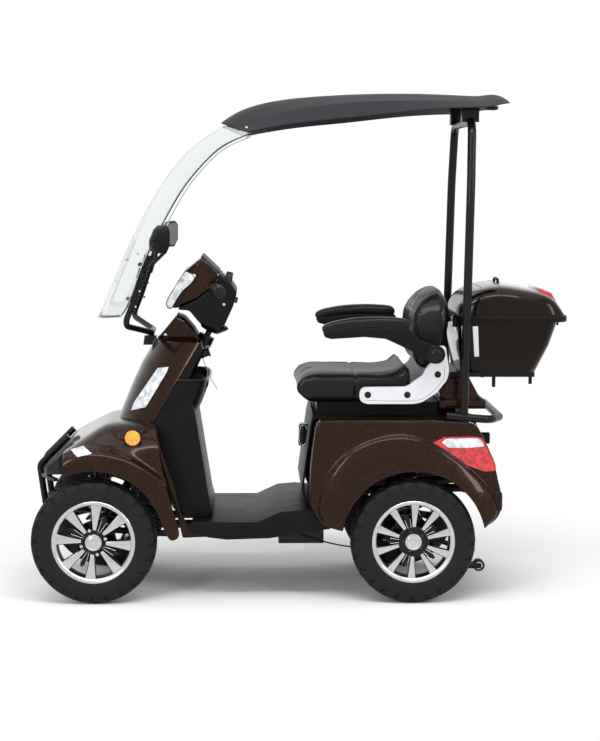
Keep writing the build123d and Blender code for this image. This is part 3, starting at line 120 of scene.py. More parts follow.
def between(knots: Sequence[Flat], at: float) -> float:
    """Reads a bent line of (place, value) knots, and keeps its last value beyond the end."""
    for (a, low), (b, high) in zip(knots, knots[1:]):
        if at <= b:
            return low + (high - low) * (at - a) / (b - a)
    return knots[-1][1]


def linear(code: str, alpha: float = 1.0) -> tuple[float, float, float, float]:
    """Turns an sRGB hex code to linear colour.

    Args:
        code: A colour such as "#2b1c15".
        alpha: The fourth number.

    Returns:
        Red, green, blue and alpha.
    """
    parts = [int(code[i:i + 2], 16) / 255 for i in (1, 3, 5)]
    red, green, blue = (c / 12.92 if c <= 0.04045 else ((c + 0.055) / 1.055) ** 2.4 for c in parts)
    return red, green, blue, alpha


def put(tree: Tree, kind: str, sockets: dict[Any, Any] | None = None, **settings: Any) -> Node:
    """Adds one node with its settings and links.

    Args:
        tree: The tree that gets the node.
        kind: The node's type name.
        sockets: Input names or numbers, each with a value, or with another node's output to link.
        settings: The node's own properties.

    Returns:
        The new node.
    """
    made = tree.nodes.new(kind)
    for name, value in settings.items():
        setattr(made, name, value)
    for name, value in (sockets or {}).items():
        if isinstance(value, Socket):
            tree.links.new(value, made.inputs[name])
        else:
            made.inputs[name].default_value = value
    return made


@dataclass(frozen=True)
class Finish:
    """One real material on one maker's surface: colours, gloss and the grain that its making leaves.

    The grain's size is the distance between its marks in millimetres, and its height is in millimetres too.
    """

    name: str
    colour: str
    second: str
    roughness: float
    metallic: float = 0.0
    coat: float = 0.0
    ior: float = 1.5
    transmission: float = 0.0
    grain: float = 1.2
    height: float = 0.05
    patches: float = 60.0
    specular: float = 0.5
    coat_ior: float = 1.5

    def build(self) -> bpy.types.Material:
        """Makes the material once and gives it again on later calls."""
        found = bpy.data.materials.get(self.name)
        if found:
            return found
        made = bpy.data.materials.new(self.name)
        made.use_nodes = True
        tree = made.node_tree
        tree.nodes.clear()
        place = put(tree, "ShaderNodeTexCoord")
        shader = put(tree, "ShaderNodeBsdfPrincipled", {
            "Metallic": self.metallic,
            "Coat Weight": self.coat,
            "Coat Roughness": 0.04,
            "Transmission Weight": self.transmission,
            "Specular IOR Level": self.specular,
            "Coat IOR": self.coat_ior,
        })
        if self.metallic < 0.9:
            shader.inputs["IOR"].default_value = self.ior
        self.paint(tree, place.outputs["Object"], shader)
        put(tree, "ShaderNodeOutputMaterial", {"Surface": shader.outputs[0]})
        return made

    def paint(self, tree: Tree, place: Socket, shader: Node) -> None:
        """Draws slow colour patches, uneven gloss and the fine grain.

        Args:
            tree: The material's nodes.
            place: Object coordinates.
            shader: The surface shader that gets the links.
        """
        cloud = self.noise(tree, place, self.patches, 3.0)
        self.tint(tree, cloud, shader)
        self.shine(tree, cloud, shader, 0.85, 1.2)
        self.relief(tree, self.noise(tree, place, self.grain, 2.0), shader, 1.0)

    def noise(self, tree: Tree, place: Socket, size: float, detail: float) -> Socket:
        """Adds soft noise with marks of a size in millimetres."""
        made = put(tree, "ShaderNodeTexNoise", {"Vector": place, "Scale": 1000 / size, "Detail": detail})
        return made.outputs[0]

    def tint(self, tree: Tree, share: Socket, shader: Node) -> None:
        """Links the two colours, mixed by a share."""
        blend = put(tree, "ShaderNodeMix", {0: share, 6: linear(self.colour), 7: linear(self.second)},
                    data_type="RGBA")
        tree.links.new(blend.outputs[2], shader.inputs["Base Color"])

    def shine(self, tree: Tree, share: Socket, shader: Node, low: float, high: float) -> None:
        """Links a roughness that a share moves between two factors of its own value."""
        gloss = put(tree, "ShaderNodeMapRange", {
            "Value": share, "To Min": self.roughness * low, "To Max": min(1.0, self.roughness * high)})
        tree.links.new(gloss.outputs[0], shader.inputs["Roughness"])

    def relief(self, tree: Tree, source: Socket, shader: Node, strength: float, invert: bool = False) -> None:
        """Links the grain's relief."""
        bump = put(tree, "ShaderNodeBump", {
            "Strength": strength, "Distance": self.height * MM, "Height": source}, invert=invert)
        tree.links.new(bump.outputs[0], shader.inputs["Normal"])


@dataclass(frozen=True)
class FlakePaint(Finish):
    """Metal-flake enamel on ABS: small flakes glint at their own angles under a clear lacquer; here a few are
    drawn lighter, a painted glint.
    """

    flake: float = 2.2

    def paint(self, tree: Tree, place: Socket, shader: Node) -> None:
        """Draws the flakes as small cells, coarser than the real 0.1 mm so that they show, and gives a few of
        them a lighter brown as a painted glint.
        """
        cells = put(tree, "ShaderNodeTexVoronoi", {"Vector": place, "Scale": 1000 / self.flake})
        split = put(tree, "ShaderNodeSeparateColor", {0: cells.outputs["Color"]})
        few = put(tree, "ShaderNodeMapRange",
                  {"Value": split.outputs[0], "From Min": 0.55, "From Max": 1.0, "To Max": 0.6})
        # A few flakes take up to 0.6 of the lighter second colour: a painted glint
        self.tint(tree, few.outputs[0], shader)
        self.shine(tree, split.outputs[1], shader, 0.8, 1.25)


@dataclass(frozen=True)
class Leatherette(Finish):
    """Coated cloth pressed with a pebble grain: round cells with soft valleys between them."""

    def paint(self, tree: Tree, place: Socket, shader: Node) -> None:
        """Draws the pebbles, and darker, duller valleys between them."""
        cells = put(tree, "ShaderNodeTexVoronoi", {
            "Vector": place, "Scale": 1000 / self.grain, "Smoothness": 0.6}, feature="SMOOTH_F1")
        self.tint(tree, self.noise(tree, place, self.patches, 4.0), shader)
        self.shine(tree, cells.outputs[0], shader, 0.85, 1.25)
        self.relief(tree, cells.outputs[0], shader, 0.6, invert=True)


@dataclass(frozen=True)
class Prism(Finish):
    """Moulded lamp lens: clear or tinted acrylic over a bright reflector cut into small facets, whose
    differing brightness is a painted reflection.
    """

    pitch: float = 16.0

    def paint(self, tree: Tree, place: Socket, shader: Node) -> None:
        """Draws the reflector's facets as cells that lean and that each get their own brightness, a painted
        reflection, under a smooth coat.
        """
        cells = put(tree, "ShaderNodeTexVoronoi", {"Vector": place, "Scale": 1000 / self.pitch},
                    distance="CHEBYCHEV")
        split = put(tree, "ShaderNodeSeparateColor", {0: cells.outputs["Color"]})
        # Each facet's brightness between the two colours is a painted reflection
        self.tint(tree, split.outputs[0], shader)
        shader.inputs["Roughness"].default_value = self.roughness
        self.relief(tree, cells.outputs[0], shader, 0.7)


@dataclass(frozen=True)
class ClearSheet(Finish):
    """Cast polycarbonate sheet: clear, a little grey, with faint waves from forming."""

    def paint(self, tree: Tree, place: Socket, shader: Node) -> None:
        """Sets an even gloss and the long, shallow waves of a sheet bent while warm."""
        shader.inputs["Base Color"].default_value = linear(self.colour)
        shader.inputs["Roughness"].default_value = self.roughness
        self.relief(tree, self.noise(tree, place, self.patches, 1.0), shader, 1.0)


# Brown pearl enamel under lacquer on the bodywork; its flakes' lighter second colour is a painted glint
BROWN = FlakePaint("brown_flake_enamel", "#150a05", "#5c3521", 0.26, metallic=0.45, coat=0.85, flake=1.2,
                   specular=0.06, coat_ior=1.24)
# The same enamel, made darker, on the box; its flakes' lighter second colour is a painted glint too
DARK_BROWN = FlakePaint("dark_brown_enamel", "#0f0703", "#2c180e", 0.3, metallic=0.4, coat=1.0, flake=1.3,
                        specular=0.06, coat_ior=1.22)
# Grained ABS: the mould's etched grain breaks the shine up
BLACK_ABS = Finish("black_grained_abs", "#09090a", "#111113", 0.42, grain=1.6, height=0.05, specular=0.12)
# Polished ABS, moulded in a smooth tool
SMOOTH_ABS = Finish("black_smooth_abs", "#080809", "#0d0d0f", 0.18, coat=0.3, grain=6.0, height=0.01,
                    specular=0.1)
# Thermoformed polyethylene roof with a leather-like etch
ROOF_PE = Finish("grey_textured_polyethylene", "#1c1d20", "#27292c", 0.5, grain=2.6, height=0.14, patches=90,
                 specular=0.12)
# Satin powder coat on steel tube: orange peel about 2 mm across
BLACK_TUBE = Finish("black_powder_coated_steel", "#080809", "#0f0f11", 0.34, grain=2.4, height=0.04, coat=0.2,
                    specular=0.12)
# Silver lacquer on pressed steel brackets
SILVER = Finish("silver_lacquered_steel", "#cfd0d3", "#dcdde0", 0.3, metallic=0.25, coat=0.5, grain=1.5,
                height=0.015)
# Turned aluminium on the rim's faces
ALLOY = Finish("turned_aluminium", "#b9babd", "#c9cacd", 0.24, metallic=1.0, grain=0.9, height=0.012,
               patches=30)
# Black lacquer in the rim's pockets
RIM_BLACK = Finish("black_lacquered_aluminium", "#09090a", "#101012", 0.36, metallic=0.3, coat=0.25,
                   specular=0.12)
# Natural rubber with carbon black, with mould dust in the grain
RUBBER = Finish("carbon_black_rubber", "#0c0c0d", "#161617", 0.56, grain=2.0, height=0.08, patches=80,
                specular=0.22)
ROLLER = Finish("hard_black_rubber", "#101011", "#1a1a1b", 0.5, grain=1.5, height=0.04, specular=0.22)
# Pebbled leatherette, with cells of about 3 mm so that they show
LEATHER = Leatherette("black_pebbled_leatherette", "#0a0a0b", "#131315", 0.4, grain=3.0, height=0.25,
                      coat=0.15, specular=0.14)
# Waxed polyester thread
THREAD = Finish("black_polyester_thread", "#1f1f20", "#2b2b2d", 0.6, grain=0.8, height=0.08, specular=0.22)
SCREEN = ClearSheet("clear_polycarbonate", "#f4f7f7", "#f4f7f7", 0.02, ior=1.49, transmission=1.0,
                    patches=400, height=0.02)
# Lamp lenses: the two colours of each are the dark and bright facets of a painted reflection
CLEAR_LAMP = Prism("faceted_clear_acrylic", "#b9bfc4", "#f3f5f6", 0.12, metallic=0.3, coat=1.0, pitch=15.0,
                   height=0.8)
AMBER_LAMP = Prism("amber_acrylic", "#e88a0c", "#ffb338", 0.14, coat=1.0, pitch=9.0, height=0.5)
RED_LAMP = Prism("red_acrylic", "#8d070b", "#e2191f", 0.14, coat=1.0, pitch=10.0, height=0.8)
MIRROR = Finish("dark_tinted_mirror_glass", "#55585b", "#5f6265", 0.05, metallic=1.0, coat=1.0, grain=40.0,
                height=0.0)
BATTERY = Finish("grey_moulded_polypropylene", "#26282b", "#303337", 0.5, grain=1.4, height=0.05,
                 specular=0.22)
# Painted shade: opaque grey beads that stand for the clear sheet's cut edges
SCREEN_EDGE_SHADE = Finish("cut_polycarbonate_edge", "#8c9296", "#a4aaae", 0.2, coat=0.6, grain=3.0, height=0.01)
CHROME = Finish("chromed_steel", "#d6d8da", "#e3e4e6", 0.08, metallic=1.0, grain=8.0, height=0.005)
ZINC = Finish("zinc_plated_steel", "#8f9296", "#a6a9ad", 0.32, metallic=1.0, grain=1.0, height=0.02)

SLOT_FINISH: dict[str, Finish] = {
    "brown_gloss": BROWN, "black_plastic": BLACK_ABS, "roof_plastic": ROOF_PE, "black_steel": BLACK_TUBE,
    "silver_paint": SILVER, "rim_alloy": ALLOY, "tyre_rubber": RUBBER, "roller_rubber": ROLLER,
    "seat_leather": LEATHER, "clear_screen": SCREEN, "lamp_clear": CLEAR_LAMP, "lamp_amber": AMBER_LAMP,
    "lamp_red": RED_LAMP, "mirror_silver": MIRROR, "battery_case": BATTERY,
}


Accent = tuple[Finish, Callable[[Vector], bool]]


class Shape:
    """A mesh in the making, in millimetres, shaped by bmesh operators."""

    def __init__(self) -> None:
        """Starts empty."""
        self.bm = bmesh.new()

    def plate(self, outline: Sequence[Flat], low: float, high: float, across: Axis = Axis.Y,
              corner: float = 0.0) -> Shape:
        """Raises a flat outline to a slab.

        Args:
            outline: The corners, as the two coordinates that the slab doesn't run along, in the axes' order.
            low: Where the slab starts.
            high: Where it ends.
            across: The axis that it runs along.
            corner: The radius that the outline's corners get.

        Returns:
            This shape.
        """
        corners = []
        for a, b in outline:
            spot = [a, b]
            spot.insert(across.value, low)
            corners.append(self.bm.verts.new(spot))
        face = self.bm.faces.new(corners)
        if corner:
            rounded = bmesh.ops.bevel(self.bm, geom=corners, offset=corner, offset_type="OFFSET", segments=5,
                                      profile=0.5, affect="VERTICES", clamp_overlap=True, material=-1)
            face = rounded["verts"][0].link_faces[0]
        grown = bmesh.ops.extrude_face_region(self.bm, geom=[face])
        step = Vector()
        step[across.value] = high - low
        moved = [g for g in grown["geom"] if isinstance(g, bmesh.types.BMVert)]
        bmesh.ops.translate(self.bm, verts=moved, vec=step)
        bmesh.ops.recalc_face_normals(self.bm, faces=self.bm.faces)
        return self

    def lathe(self, profile: Sequence[Flat], centre: Point, way: int = 1, steps: int = 48) -> Shape:
        """Turns a profile about a line along Y.

        Args:
            profile: Pairs of distance along the line and radius.
            centre: A point on the line, from which the distances count.
            way: 1 where the distances run towards +Y, -1 where they run the other way.
            steps: How many steps make the round.

        Returns:
            This shape.
        """
        middle = Vector(centre)
        run = Vector((0.0, 1.0, 0.0))
        verts = [self.bm.verts.new(middle + Vector((0.0, way * w, r))) for w, r in profile]
        edges = [self.bm.edges.new(pair) for pair in zip(verts, verts[1:])]
        bmesh.ops.spin(self.bm, geom=verts + edges, cent=middle, axis=run, angle=math.tau, steps=steps,
                       use_merge=True)
        bmesh.ops.remove_doubles(self.bm, verts=self.bm.verts, dist=0.01)
        bmesh.ops.recalc_face_normals(self.bm, faces=self.bm.faces)
        return self

    def loft(self, rows: Sequence[Sequence[Point]], ring: bool = False, capped: bool = False) -> Shape:
        """Bridges a run of sections.

        Args:
            rows: The sections in order, each with the same number of points.
            ring: Whether each section closes on itself.
            capped: Whether the first and last sections get a face.

        Returns:
            This shape.
        """
        loops = []
        for row in rows:
            verts = [self.bm.verts.new(p) for p in row]
            pairs = list(zip(verts, verts[1:]))
            if ring:
                pairs.append((verts[-1], verts[0]))
            loops.append([self.bm.edges.new(pair) for pair in pairs])
        for near, far in zip(loops, loops[1:]):
            bmesh.ops.bridge_loops(self.bm, edges=near + far)
        if capped:
            for loop in (loops[0], loops[-1]):
                bmesh.ops.contextual_create(self.bm, geom=loop)
        bmesh.ops.recalc_face_normals(self.bm, faces=self.bm.faces)
        return self

    def dome(self, centre: Point, radius: float, height: float, toward: Vector, steps: int = 12) -> Shape:
        """Sets a flattened ball, as a bolt's head or a button.

        Args:
            centre: The middle of its flat side.
            radius: Its radius.
            height: How far it stands up.
            toward: The way that it points.
            steps: How many steps make the round.

        Returns:
            This shape.
        """
        turn = toward.normalized().to_track_quat("Z", "Y").to_matrix().to_4x4()
        place = Matrix.Translation(centre) @ turn @ Matrix.Diagonal((radius, radius, height, 1.0))
        bmesh.ops.create_uvsphere(self.bm, u_segments=steps, v_segments=max(6, steps // 2), radius=1.0,
                                  matrix=place)
        return self

    def stud(self, start: Point, end: Point, radius: float, tip: float | None = None,
             steps: int = 24) -> Shape:
        """Sets a round bar or cone between two points.

        Args:
            start: The middle of its first end.
            end: The middle of its other end.
            radius: The radius at its start.
            tip: The radius at its end, the same where it isn't given.
            steps: How many steps make the round.

        Returns:
            This shape.
        """
        a, b = Vector(start), Vector(end)
        turn = (b - a).to_track_quat("Z", "Y").to_matrix().to_4x4()
        place = Matrix.Translation((a + b) / 2) @ turn
        bmesh.ops.create_cone(self.bm, cap_ends=True, segments=steps, radius1=radius,
                              radius2=radius if tip is None else tip, depth=(b - a).length, matrix=place)
        return self

    def wire(self, points: Sequence[Point], radius: float, closed: bool = False, steps: int = 4) -> Shape:
        """Lays a round bead along a smooth line.

        Args:
            points: The line's control points.
            radius: The bead's radius.
            closed: Whether the line closes on itself.
            steps: How round the bead is.

        Returns:
            This shape.
        """
        line = bpy.data.curves.new("bead", "CURVE")
        line.dimensions = "3D"
        line.bevel_depth = radius
        line.bevel_resolution = steps
        line.use_fill_caps = not closed
        spline = line.splines.new("NURBS")
        spline.points.add(len(points) - 1)
        for spot, p in zip(spline.points, points):
            spot.co = (*p, 1.0)
        spline.use_cyclic_u = closed
        spline.use_endpoint_u = not closed
        spline.order_u = 3
        spline.resolution_u = 6
        holder = bpy.data.objects.new("bead", line)
        made = bpy.data.meshes.new_from_object(holder)
        self.bm.from_mesh(made)
        bpy.data.objects.remove(holder)
        bpy.data.curves.remove(line)
        bpy.data.meshes.remove(made)
        return self

    def copy(self, node: str) -> Shape:
        """Takes in a merged copy of a node's mesh, with its flat faces made whole."""
        self.bm.from_mesh(bpy.data.objects[node].data)
        bmesh.ops.scale(self.bm, vec=(1 / MM,) * 3, verts=self.bm.verts)
        bmesh.ops.remove_doubles(self.bm, verts=self.bm.verts, dist=0.02)
        bmesh.ops.dissolve_limit(self.bm, angle_limit=math.radians(0.6), verts=self.bm.verts,
                                 edges=self.bm.edges)
        return self

    def soften(self, width: float, segments: int = 3, low: float = 12.0, short: float = 0.0) -> Shape:
        """Rounds the edges over which the surface turns.

        Args:
            width: The bevel's width.
            segments: Its steps.
            low: The least turn in degrees that is rounded.
            short: Edges below this length are left.

        Returns:
            This shape.
        """
        chosen = []
        for edge in self.bm.edges:
            if len(edge.link_faces) == 2 and edge.calc_length() > short:
                if math.degrees(edge.calc_face_angle(0.0)) > low:
                    chosen.append(edge)
        bmesh.ops.bevel(self.bm, geom=chosen, offset=width, offset_type="OFFSET", segments=segments,
                        profile=0.5, affect="EDGES", clamp_overlap=True, material=-1)
        return self

    def mirrored(self) -> Shape:
        """Adds the other side's twin across the middle plane."""
        geom = self.bm.verts[:] + self.bm.edges[:] + self.bm.faces[:]
        bmesh.ops.mirror(self.bm, geom=geom, axis="Y", merge_dist=0.05)
        bmesh.ops.recalc_face_normals(self.bm, faces=self.bm.faces)
        return self

    def drape(self, move: Callable[[Vector], Vector]) -> Shape:
        """Moves every point by a rule."""
        for vert in self.bm.verts:
            vert.co = move(vert.co)
        return self

    def wall(self, thickness: float) -> Shape:
        """Gives an open sheet its thickness, inwards."""
        bmesh.ops.recalc_face_normals(self.bm, faces=self.bm.faces)
        bmesh.ops.solidify(self.bm, geom=self.bm.faces[:], thickness=thickness)
        return self

    def cut(self, across: Axis, place: float) -> Shape:
        """Divides the faces along a plane, so that a second finish can start there."""
        middle, way = Vector(), Vector()
        middle[across.value], way[across.value] = place, 1.0
        geom = self.bm.verts[:] + self.bm.edges[:] + self.bm.faces[:]
        bmesh.ops.bisect_plane(self.bm, geom=geom, dist=0.02, plane_co=middle, plane_no=way)
        return self

    def piece(self, name: str, body: str, slot: str, finish: Finish, replaced: Sequence[str] = (),
              smooth: float = 40.0, accents: Sequence[Accent] = ()) -> bpy.types.Object:
        """Turns the shape into a finished object.

        Args:
            name: The piece's name.
            body: The body that it rides on.
            slot: The record's material slot; not used.
            finish: Its finish.
            replaced: The nodes that it stands for.
            smooth: Edges that turn less than this many degrees are shaded round.
            accents: Further finishes, each with the rule that picks its faces by their middle.

        Returns:
            The object.
        """
        mesh = bpy.data.meshes.new(name)
        for number, (_, picks) in enumerate(accents, 1):
            for face in self.bm.faces:
                if picks(face.calc_center_median()):
                    face.material_index = number
        bmesh.ops.scale(self.bm, vec=(MM,) * 3, verts=self.bm.verts)
        for face in self.bm.faces:
            face.smooth = True
        for edge in self.bm.edges:
            edge.smooth = edge.calc_face_angle(0.0) < math.radians(smooth)
        self.bm.to_mesh(mesh)
        self.bm.free()
        made = bpy.data.objects.new(name, mesh)
        bpy.context.scene.collection.objects.link(made)
        for each in (finish, *(accent for accent, _ in accents)):
            mesh.materials.append(each.build())
        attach(made, body)
        if replaced:
            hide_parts(*replaced)
        LOG.info("made %s, %d faces", name, len(mesh.polygons))
        return made


def settle(made: bpy.types.Object) -> bpy.types.Object:
    """Applies a piece's modifiers to its mesh."""
    bpy.context.view_layer.update()
    held = made.evaluated_get(bpy.context.evaluated_depsgraph_get())
    mesh = bpy.data.meshes.new_from_object(held)
    old = made.data
    made.modifiers.clear()
    made.data = mesh
    bpy.data.meshes.remove(old)
    mesh.name = made.name
    return made


def remeshed(made: bpy.types.Object, voxel: float, passes: int) -> None:
    """Adds an even mesh of voxels in millimetres, and a number of smoothing passes."""
    cells = made.modifiers.new("cells", "REMESH")
    cells.mode = "VOXEL"
    cells.voxel_size = voxel * MM
    soft = made.modifiers.new("soft", "SMOOTH")
    soft.factor = 0.5
    soft.iterations = passes


def rounder(made: bpy.types.Object, levels: int = 2) -> bpy.types.Object:
    """Adds a subdivision surface with equal view and render levels."""
    modifier = made.modifiers.new("round", "SUBSURF")
    modifier.levels = levels
    modifier.render_levels = levels
    for face in made.data.polygons:
        face.use_smooth = True
    return made


@dataclass
class Studio:
    """The camera at the photograph's place, the pale floor and the soft lamps."""

    eye: Point = (175.0, 5900.0, 1377.0)
    yaw: float = 0.0303
    pitch: float = 0.1087
    roll: float = -0.0039
    lens: float = 84.92

    def camera(self) -> None:
        """Sets the camera from its turn about the three axes."""
        level = math.cos(self.pitch)
        ahead = Vector((-math.sin(self.yaw) * level, -math.cos(self.yaw) * level, -math.sin(self.pitch)))
        side = ahead.cross(Vector((0, 0, 1))).normalized()
        down = ahead.cross(side)
        across = side * math.cos(self.roll) + down * math.sin(self.roll)
        below = -side * math.sin(self.roll) + down * math.cos(self.roll)
        data = bpy.data.cameras.new("studio_camera")
        data.sensor_fit = "VERTICAL"
        data.sensor_height = 36.0
        data.lens = self.lens
        made = bpy.data.objects.new("studio_camera", data)
        turn = Matrix((across, -below, -ahead)).transposed().to_4x4()
        made.matrix_world = Matrix.Translation(Vector(self.eye) * MM) @ turn
        bpy.context.scene.collection.objects.link(made)
        bpy.context.scene.camera = made

    def lamp(self, name: str, place: Point, aim: Point, size: Flat, power: float) -> None:
        """Hangs one softbox.

        Args:
            name: The lamp's name.
            place: Where it hangs, in metres.
            aim: What it points at, in metres.
            size: Its width and height in metres.
            power: Its watts.
        """
        data = bpy.data.lights.new(name, "AREA")
        data.shape = "RECTANGLE"
        data.size, data.size_y = size
        data.energy = power
        made = bpy.data.objects.new(name, data)
        turn = (Vector(place) - Vector(aim)).to_track_quat("Z", "Y").to_matrix().to_4x4()
        made.matrix_world = Matrix.Translation(place) @ turn
        bpy.context.scene.collection.objects.link(made)

    def shown(self, tree: Tree, ray: Node) -> Socket:
        """Joins the rays that see the white background: camera, glossy and transmission rays.

        Args:
            tree: The nodes of the world or of the floor.
            ray: Its Light Path node.

        Returns:
            A socket that is 1 for those rays.
        """
        pair = put(tree, "ShaderNodeMath",
                   {0: ray.outputs["Is Camera Ray"], 1: ray.outputs["Is Transmission Ray"]},
                   operation="MAXIMUM")
        both = put(tree, "ShaderNodeMath", {0: pair.outputs[0], 1: ray.outputs["Is Glossy Ray"]},
                   operation="MAXIMUM")
        return both.outputs[0]

    def world(self) -> None:
        """Lights the room evenly, and shows white to the rays that see the background."""
        world = bpy.data.worlds.new("studio_air")
        bpy.context.scene.world = world
        world.use_nodes = True
        tree = world.node_tree
        tree.nodes.clear()
        ray = put(tree, "ShaderNodeLightPath")
        seen = self.shown(tree, ray)
        soft = put(tree, "ShaderNodeBackground", {"Color": linear("#ffffff"), "Strength": 0.62})
        white = put(tree, "ShaderNodeBackground", {"Color": linear("#ffffff"), "Strength": 1.0})
        mix = put(tree, "ShaderNodeMixShader", {0: seen, 1: soft.outputs[0], 2: white.outputs[0]})
        put(tree, "ShaderNodeOutputWorld", {"Surface": mix.outputs[0]})

    def floor(self) -> None:
        """Lays the pale floor that keeps the shadow."""
        shape = Shape()
        bmesh.ops.create_grid(shape.bm, x_segments=1, y_segments=1, size=30.0)
        mesh = bpy.data.meshes.new("studio_floor")
        shape.bm.to_mesh(mesh)
        shape.bm.free()
        made = bpy.data.objects.new("studio_floor", mesh)
        bpy.context.scene.collection.objects.link(made)
        paper = bpy.data.materials.new("white_paper_floor")
        paper.use_nodes = True
        tree = paper.node_tree
        tree.nodes.clear()
        place = put(tree, "ShaderNodeTexCoord")
        cloud = put(tree, "ShaderNodeTexNoise", {"Vector": place.outputs["Object"], "Scale": 0.5})
        shade = put(tree, "ShaderNodeMapRange", {"Value": cloud.outputs[0], "To Min": 0.9, "To Max": 0.92})
        matt = put(tree, "ShaderNodeBsdfDiffuse", {"Color": shade.outputs[0]})
        away = put(tree, "ShaderNodeVectorMath", {0: place.outputs["Object"]}, operation="LENGTH")
        fade = put(tree, "ShaderNodeMapRange",
                   {"Value": away.outputs["Value"], "From Min": 0.7, "From Max": 1.7})
        ray = put(tree, "ShaderNodeLightPath")
        seen = put(tree, "ShaderNodeMath", {0: fade.outputs[0], 1: self.shown(tree, ray)},
                   operation="MULTIPLY")
        white = put(tree, "ShaderNodeEmission", {"Color": linear("#ffffff"), "Strength": 1.0})
        mix = put(tree, "ShaderNodeMixShader", {0: seen.outputs[0], 1: matt.outputs[0], 2: white.outputs[0]})
        put(tree, "ShaderNodeOutputMaterial", {"Surface": mix.outputs[0]})
        mesh.materials.append(paper)

    def build(self) -> None:
        """Sets up the whole studio."""
        bpy.context.scene.view_settings.view_transform = "Standard"
        self.camera()
        self.world()
        self.floor()
        self.lamp("top_softbox", (0.3, 0.8, 4.4), (0.1, 0.0, 0.8), (5.5, 4.0), 75.0)
        self.lamp("top_strip", (0.2, 2.2, 3.4), (0.1, 0.0, 0.6), (3.4, 0.5), 55.0)
        self.lamp("side_softbox", (2.6, 4.2, 2.4), (0.1, 0.0, 0.7), (0.7, 1.9), 55.0)
        self.lamp("rear_softbox", (-3.2, 2.6, 2.4), (0.0, 0.0, 0.7), (0.6, 1.9), 40.0)


@dataclass
class CarriedOver:
    """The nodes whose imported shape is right: each gets the finish of its slot, and many a rounded edge."""

    softened: dict[str, Flat] = field(default_factory=lambda: {
        "leg_shield": (1.2, 14.0), "footboard": (5.0, 12.0), "tail_panel": (3.0, 14.0),
        "box_lens": (3.0, 14.0), "top_box_body": (5.0, 14.0), "seat_base_front": (2.5, 14.0),
        "box_rack": (2.0, 14.0), "tail_cover": (5.0, 14.0), "inner_panel": (4.0, 14.0),
        "front_pocket": (4.0, 14.0),
    })
    moulded: dict[str, tuple[float, int]] = field(default_factory=lambda: {
        "nose_cap": (3.0, 6), "head_cowl": (5.0, 14), "head_console": (4.0, 12), "upper_cowl": (4.0, 10),
    })

    def build(self, frame: dict[str, Any]) -> None:
        """Dresses every node, and stands a softened twin for each one with crisp edges.
        """
        slots = {part["node"]: part["material_slot"] for part in frame["record"]["subparts"]}
        for name, node in frame["nodes"].items():
            node.data.materials.clear()
            node.data.materials.append(SLOT_FINISH[slots[name]].build())
        for name, (width, low) in self.softened.items():
            twin = Shape().copy(name).soften(width, low=low, short=0.8)
            body = frame["nodes"][name]["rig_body"]
            # The box gets a darker copy of the body's enamel
            finish = DARK_BROWN if name == "top_box_body" else SLOT_FINISH[slots[name]]
            twin.piece(f"{name}_skin", body, slots[name], finish, replaced=[name], smooth=30.0)
        for name, (voxel, passes) in self.moulded.items():
            melted(name, frame["nodes"][name]["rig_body"], slots[name], SLOT_FINISH[slots[name]], voxel,
                   passes)


def melted(node: str, body: str, slot: str, finish: Finish, voxel: float, passes: int) -> bpy.types.Object:
    """Stands a soft-edged twin for a solid node, as its mould would leave it.

    Args:
        node: The node.
        body: The body that it rides on.
        slot: The record's material slot.
        finish: Its finish.
        voxel: The remesh size in millimetres.
        passes: How often the surface is smoothed.

    Returns:
        The twin.
    """
    made = Shape().copy(node).piece(f"{node}_skin", body, slot, finish, replaced=[node])
    remeshed(made, voxel, passes)
    fewer = made.modifiers.new("fewer", "DECIMATE")
    fewer.ratio = 0.45
    settle(made)
    for face in made.data.polygons:
        face.use_smooth = True
    return made


@dataclass
class Tyre:
    """One road tyre: flat beads, bulged walls, a rounded crown and slanted shoulder grooves."""

    x: float
    side: Side
    node: str
    body: str
    steps: int = 96
    depth: float = 4.0

    def profile(self) -> list[Flat]:
        """Gives the tyre's outer line from bead to bead, closed through its seat."""
        half = [(34.5, 127.0), (36.5, 136.0), (38.2, 146.0), (39.2, 150.0), (40.0, 165.0), (39.4, 178.0),
                (38.2, 182.0), (36.8, 189.0), (33.5, 196.0), (26.0, 201.5), (15.0, 204.2), (5.0, 205.0)]
        other = [(-w, r) for w, r in reversed(half)]
        return half + other + [half[0]]

    def build(self) -> None:
        """Turns the tyre, then sinks a groove into every fourth step of each shoulder."""
        centre = Vector((self.x, self.side.value * TRACK, AXLE_Z))
        shape = Shape().lathe(self.profile(), centre, steps=self.steps)
        grooves = []
        for face in shape.bm.faces:
            spot = face.calc_center_median() - centre
            around = math.degrees(math.atan2(spot.z, spot.x)) % 360.0
            out = math.hypot(spot.x, spot.z)
            step = int(around / 360.0 * self.steps)
            lean = 0 if abs(spot.y) > 34.0 else 1 if abs(spot.y) > 20.0 else 2
            offset = 0 if spot.y > 0 else 2
            if out > 172.0 and abs(spot.y) > 9.0 and (step + lean + offset) % 4 == 0:
                grooves.append(face)
        bmesh.ops.inset_region(shape.bm, faces=grooves, thickness=1.2, depth=-self.depth,
                               use_even_offset=True)
        shape.piece(f"{self.node}_tread", self.body, "tyre_rubber", RUBBER, replaced=[self.node], smooth=35.0)


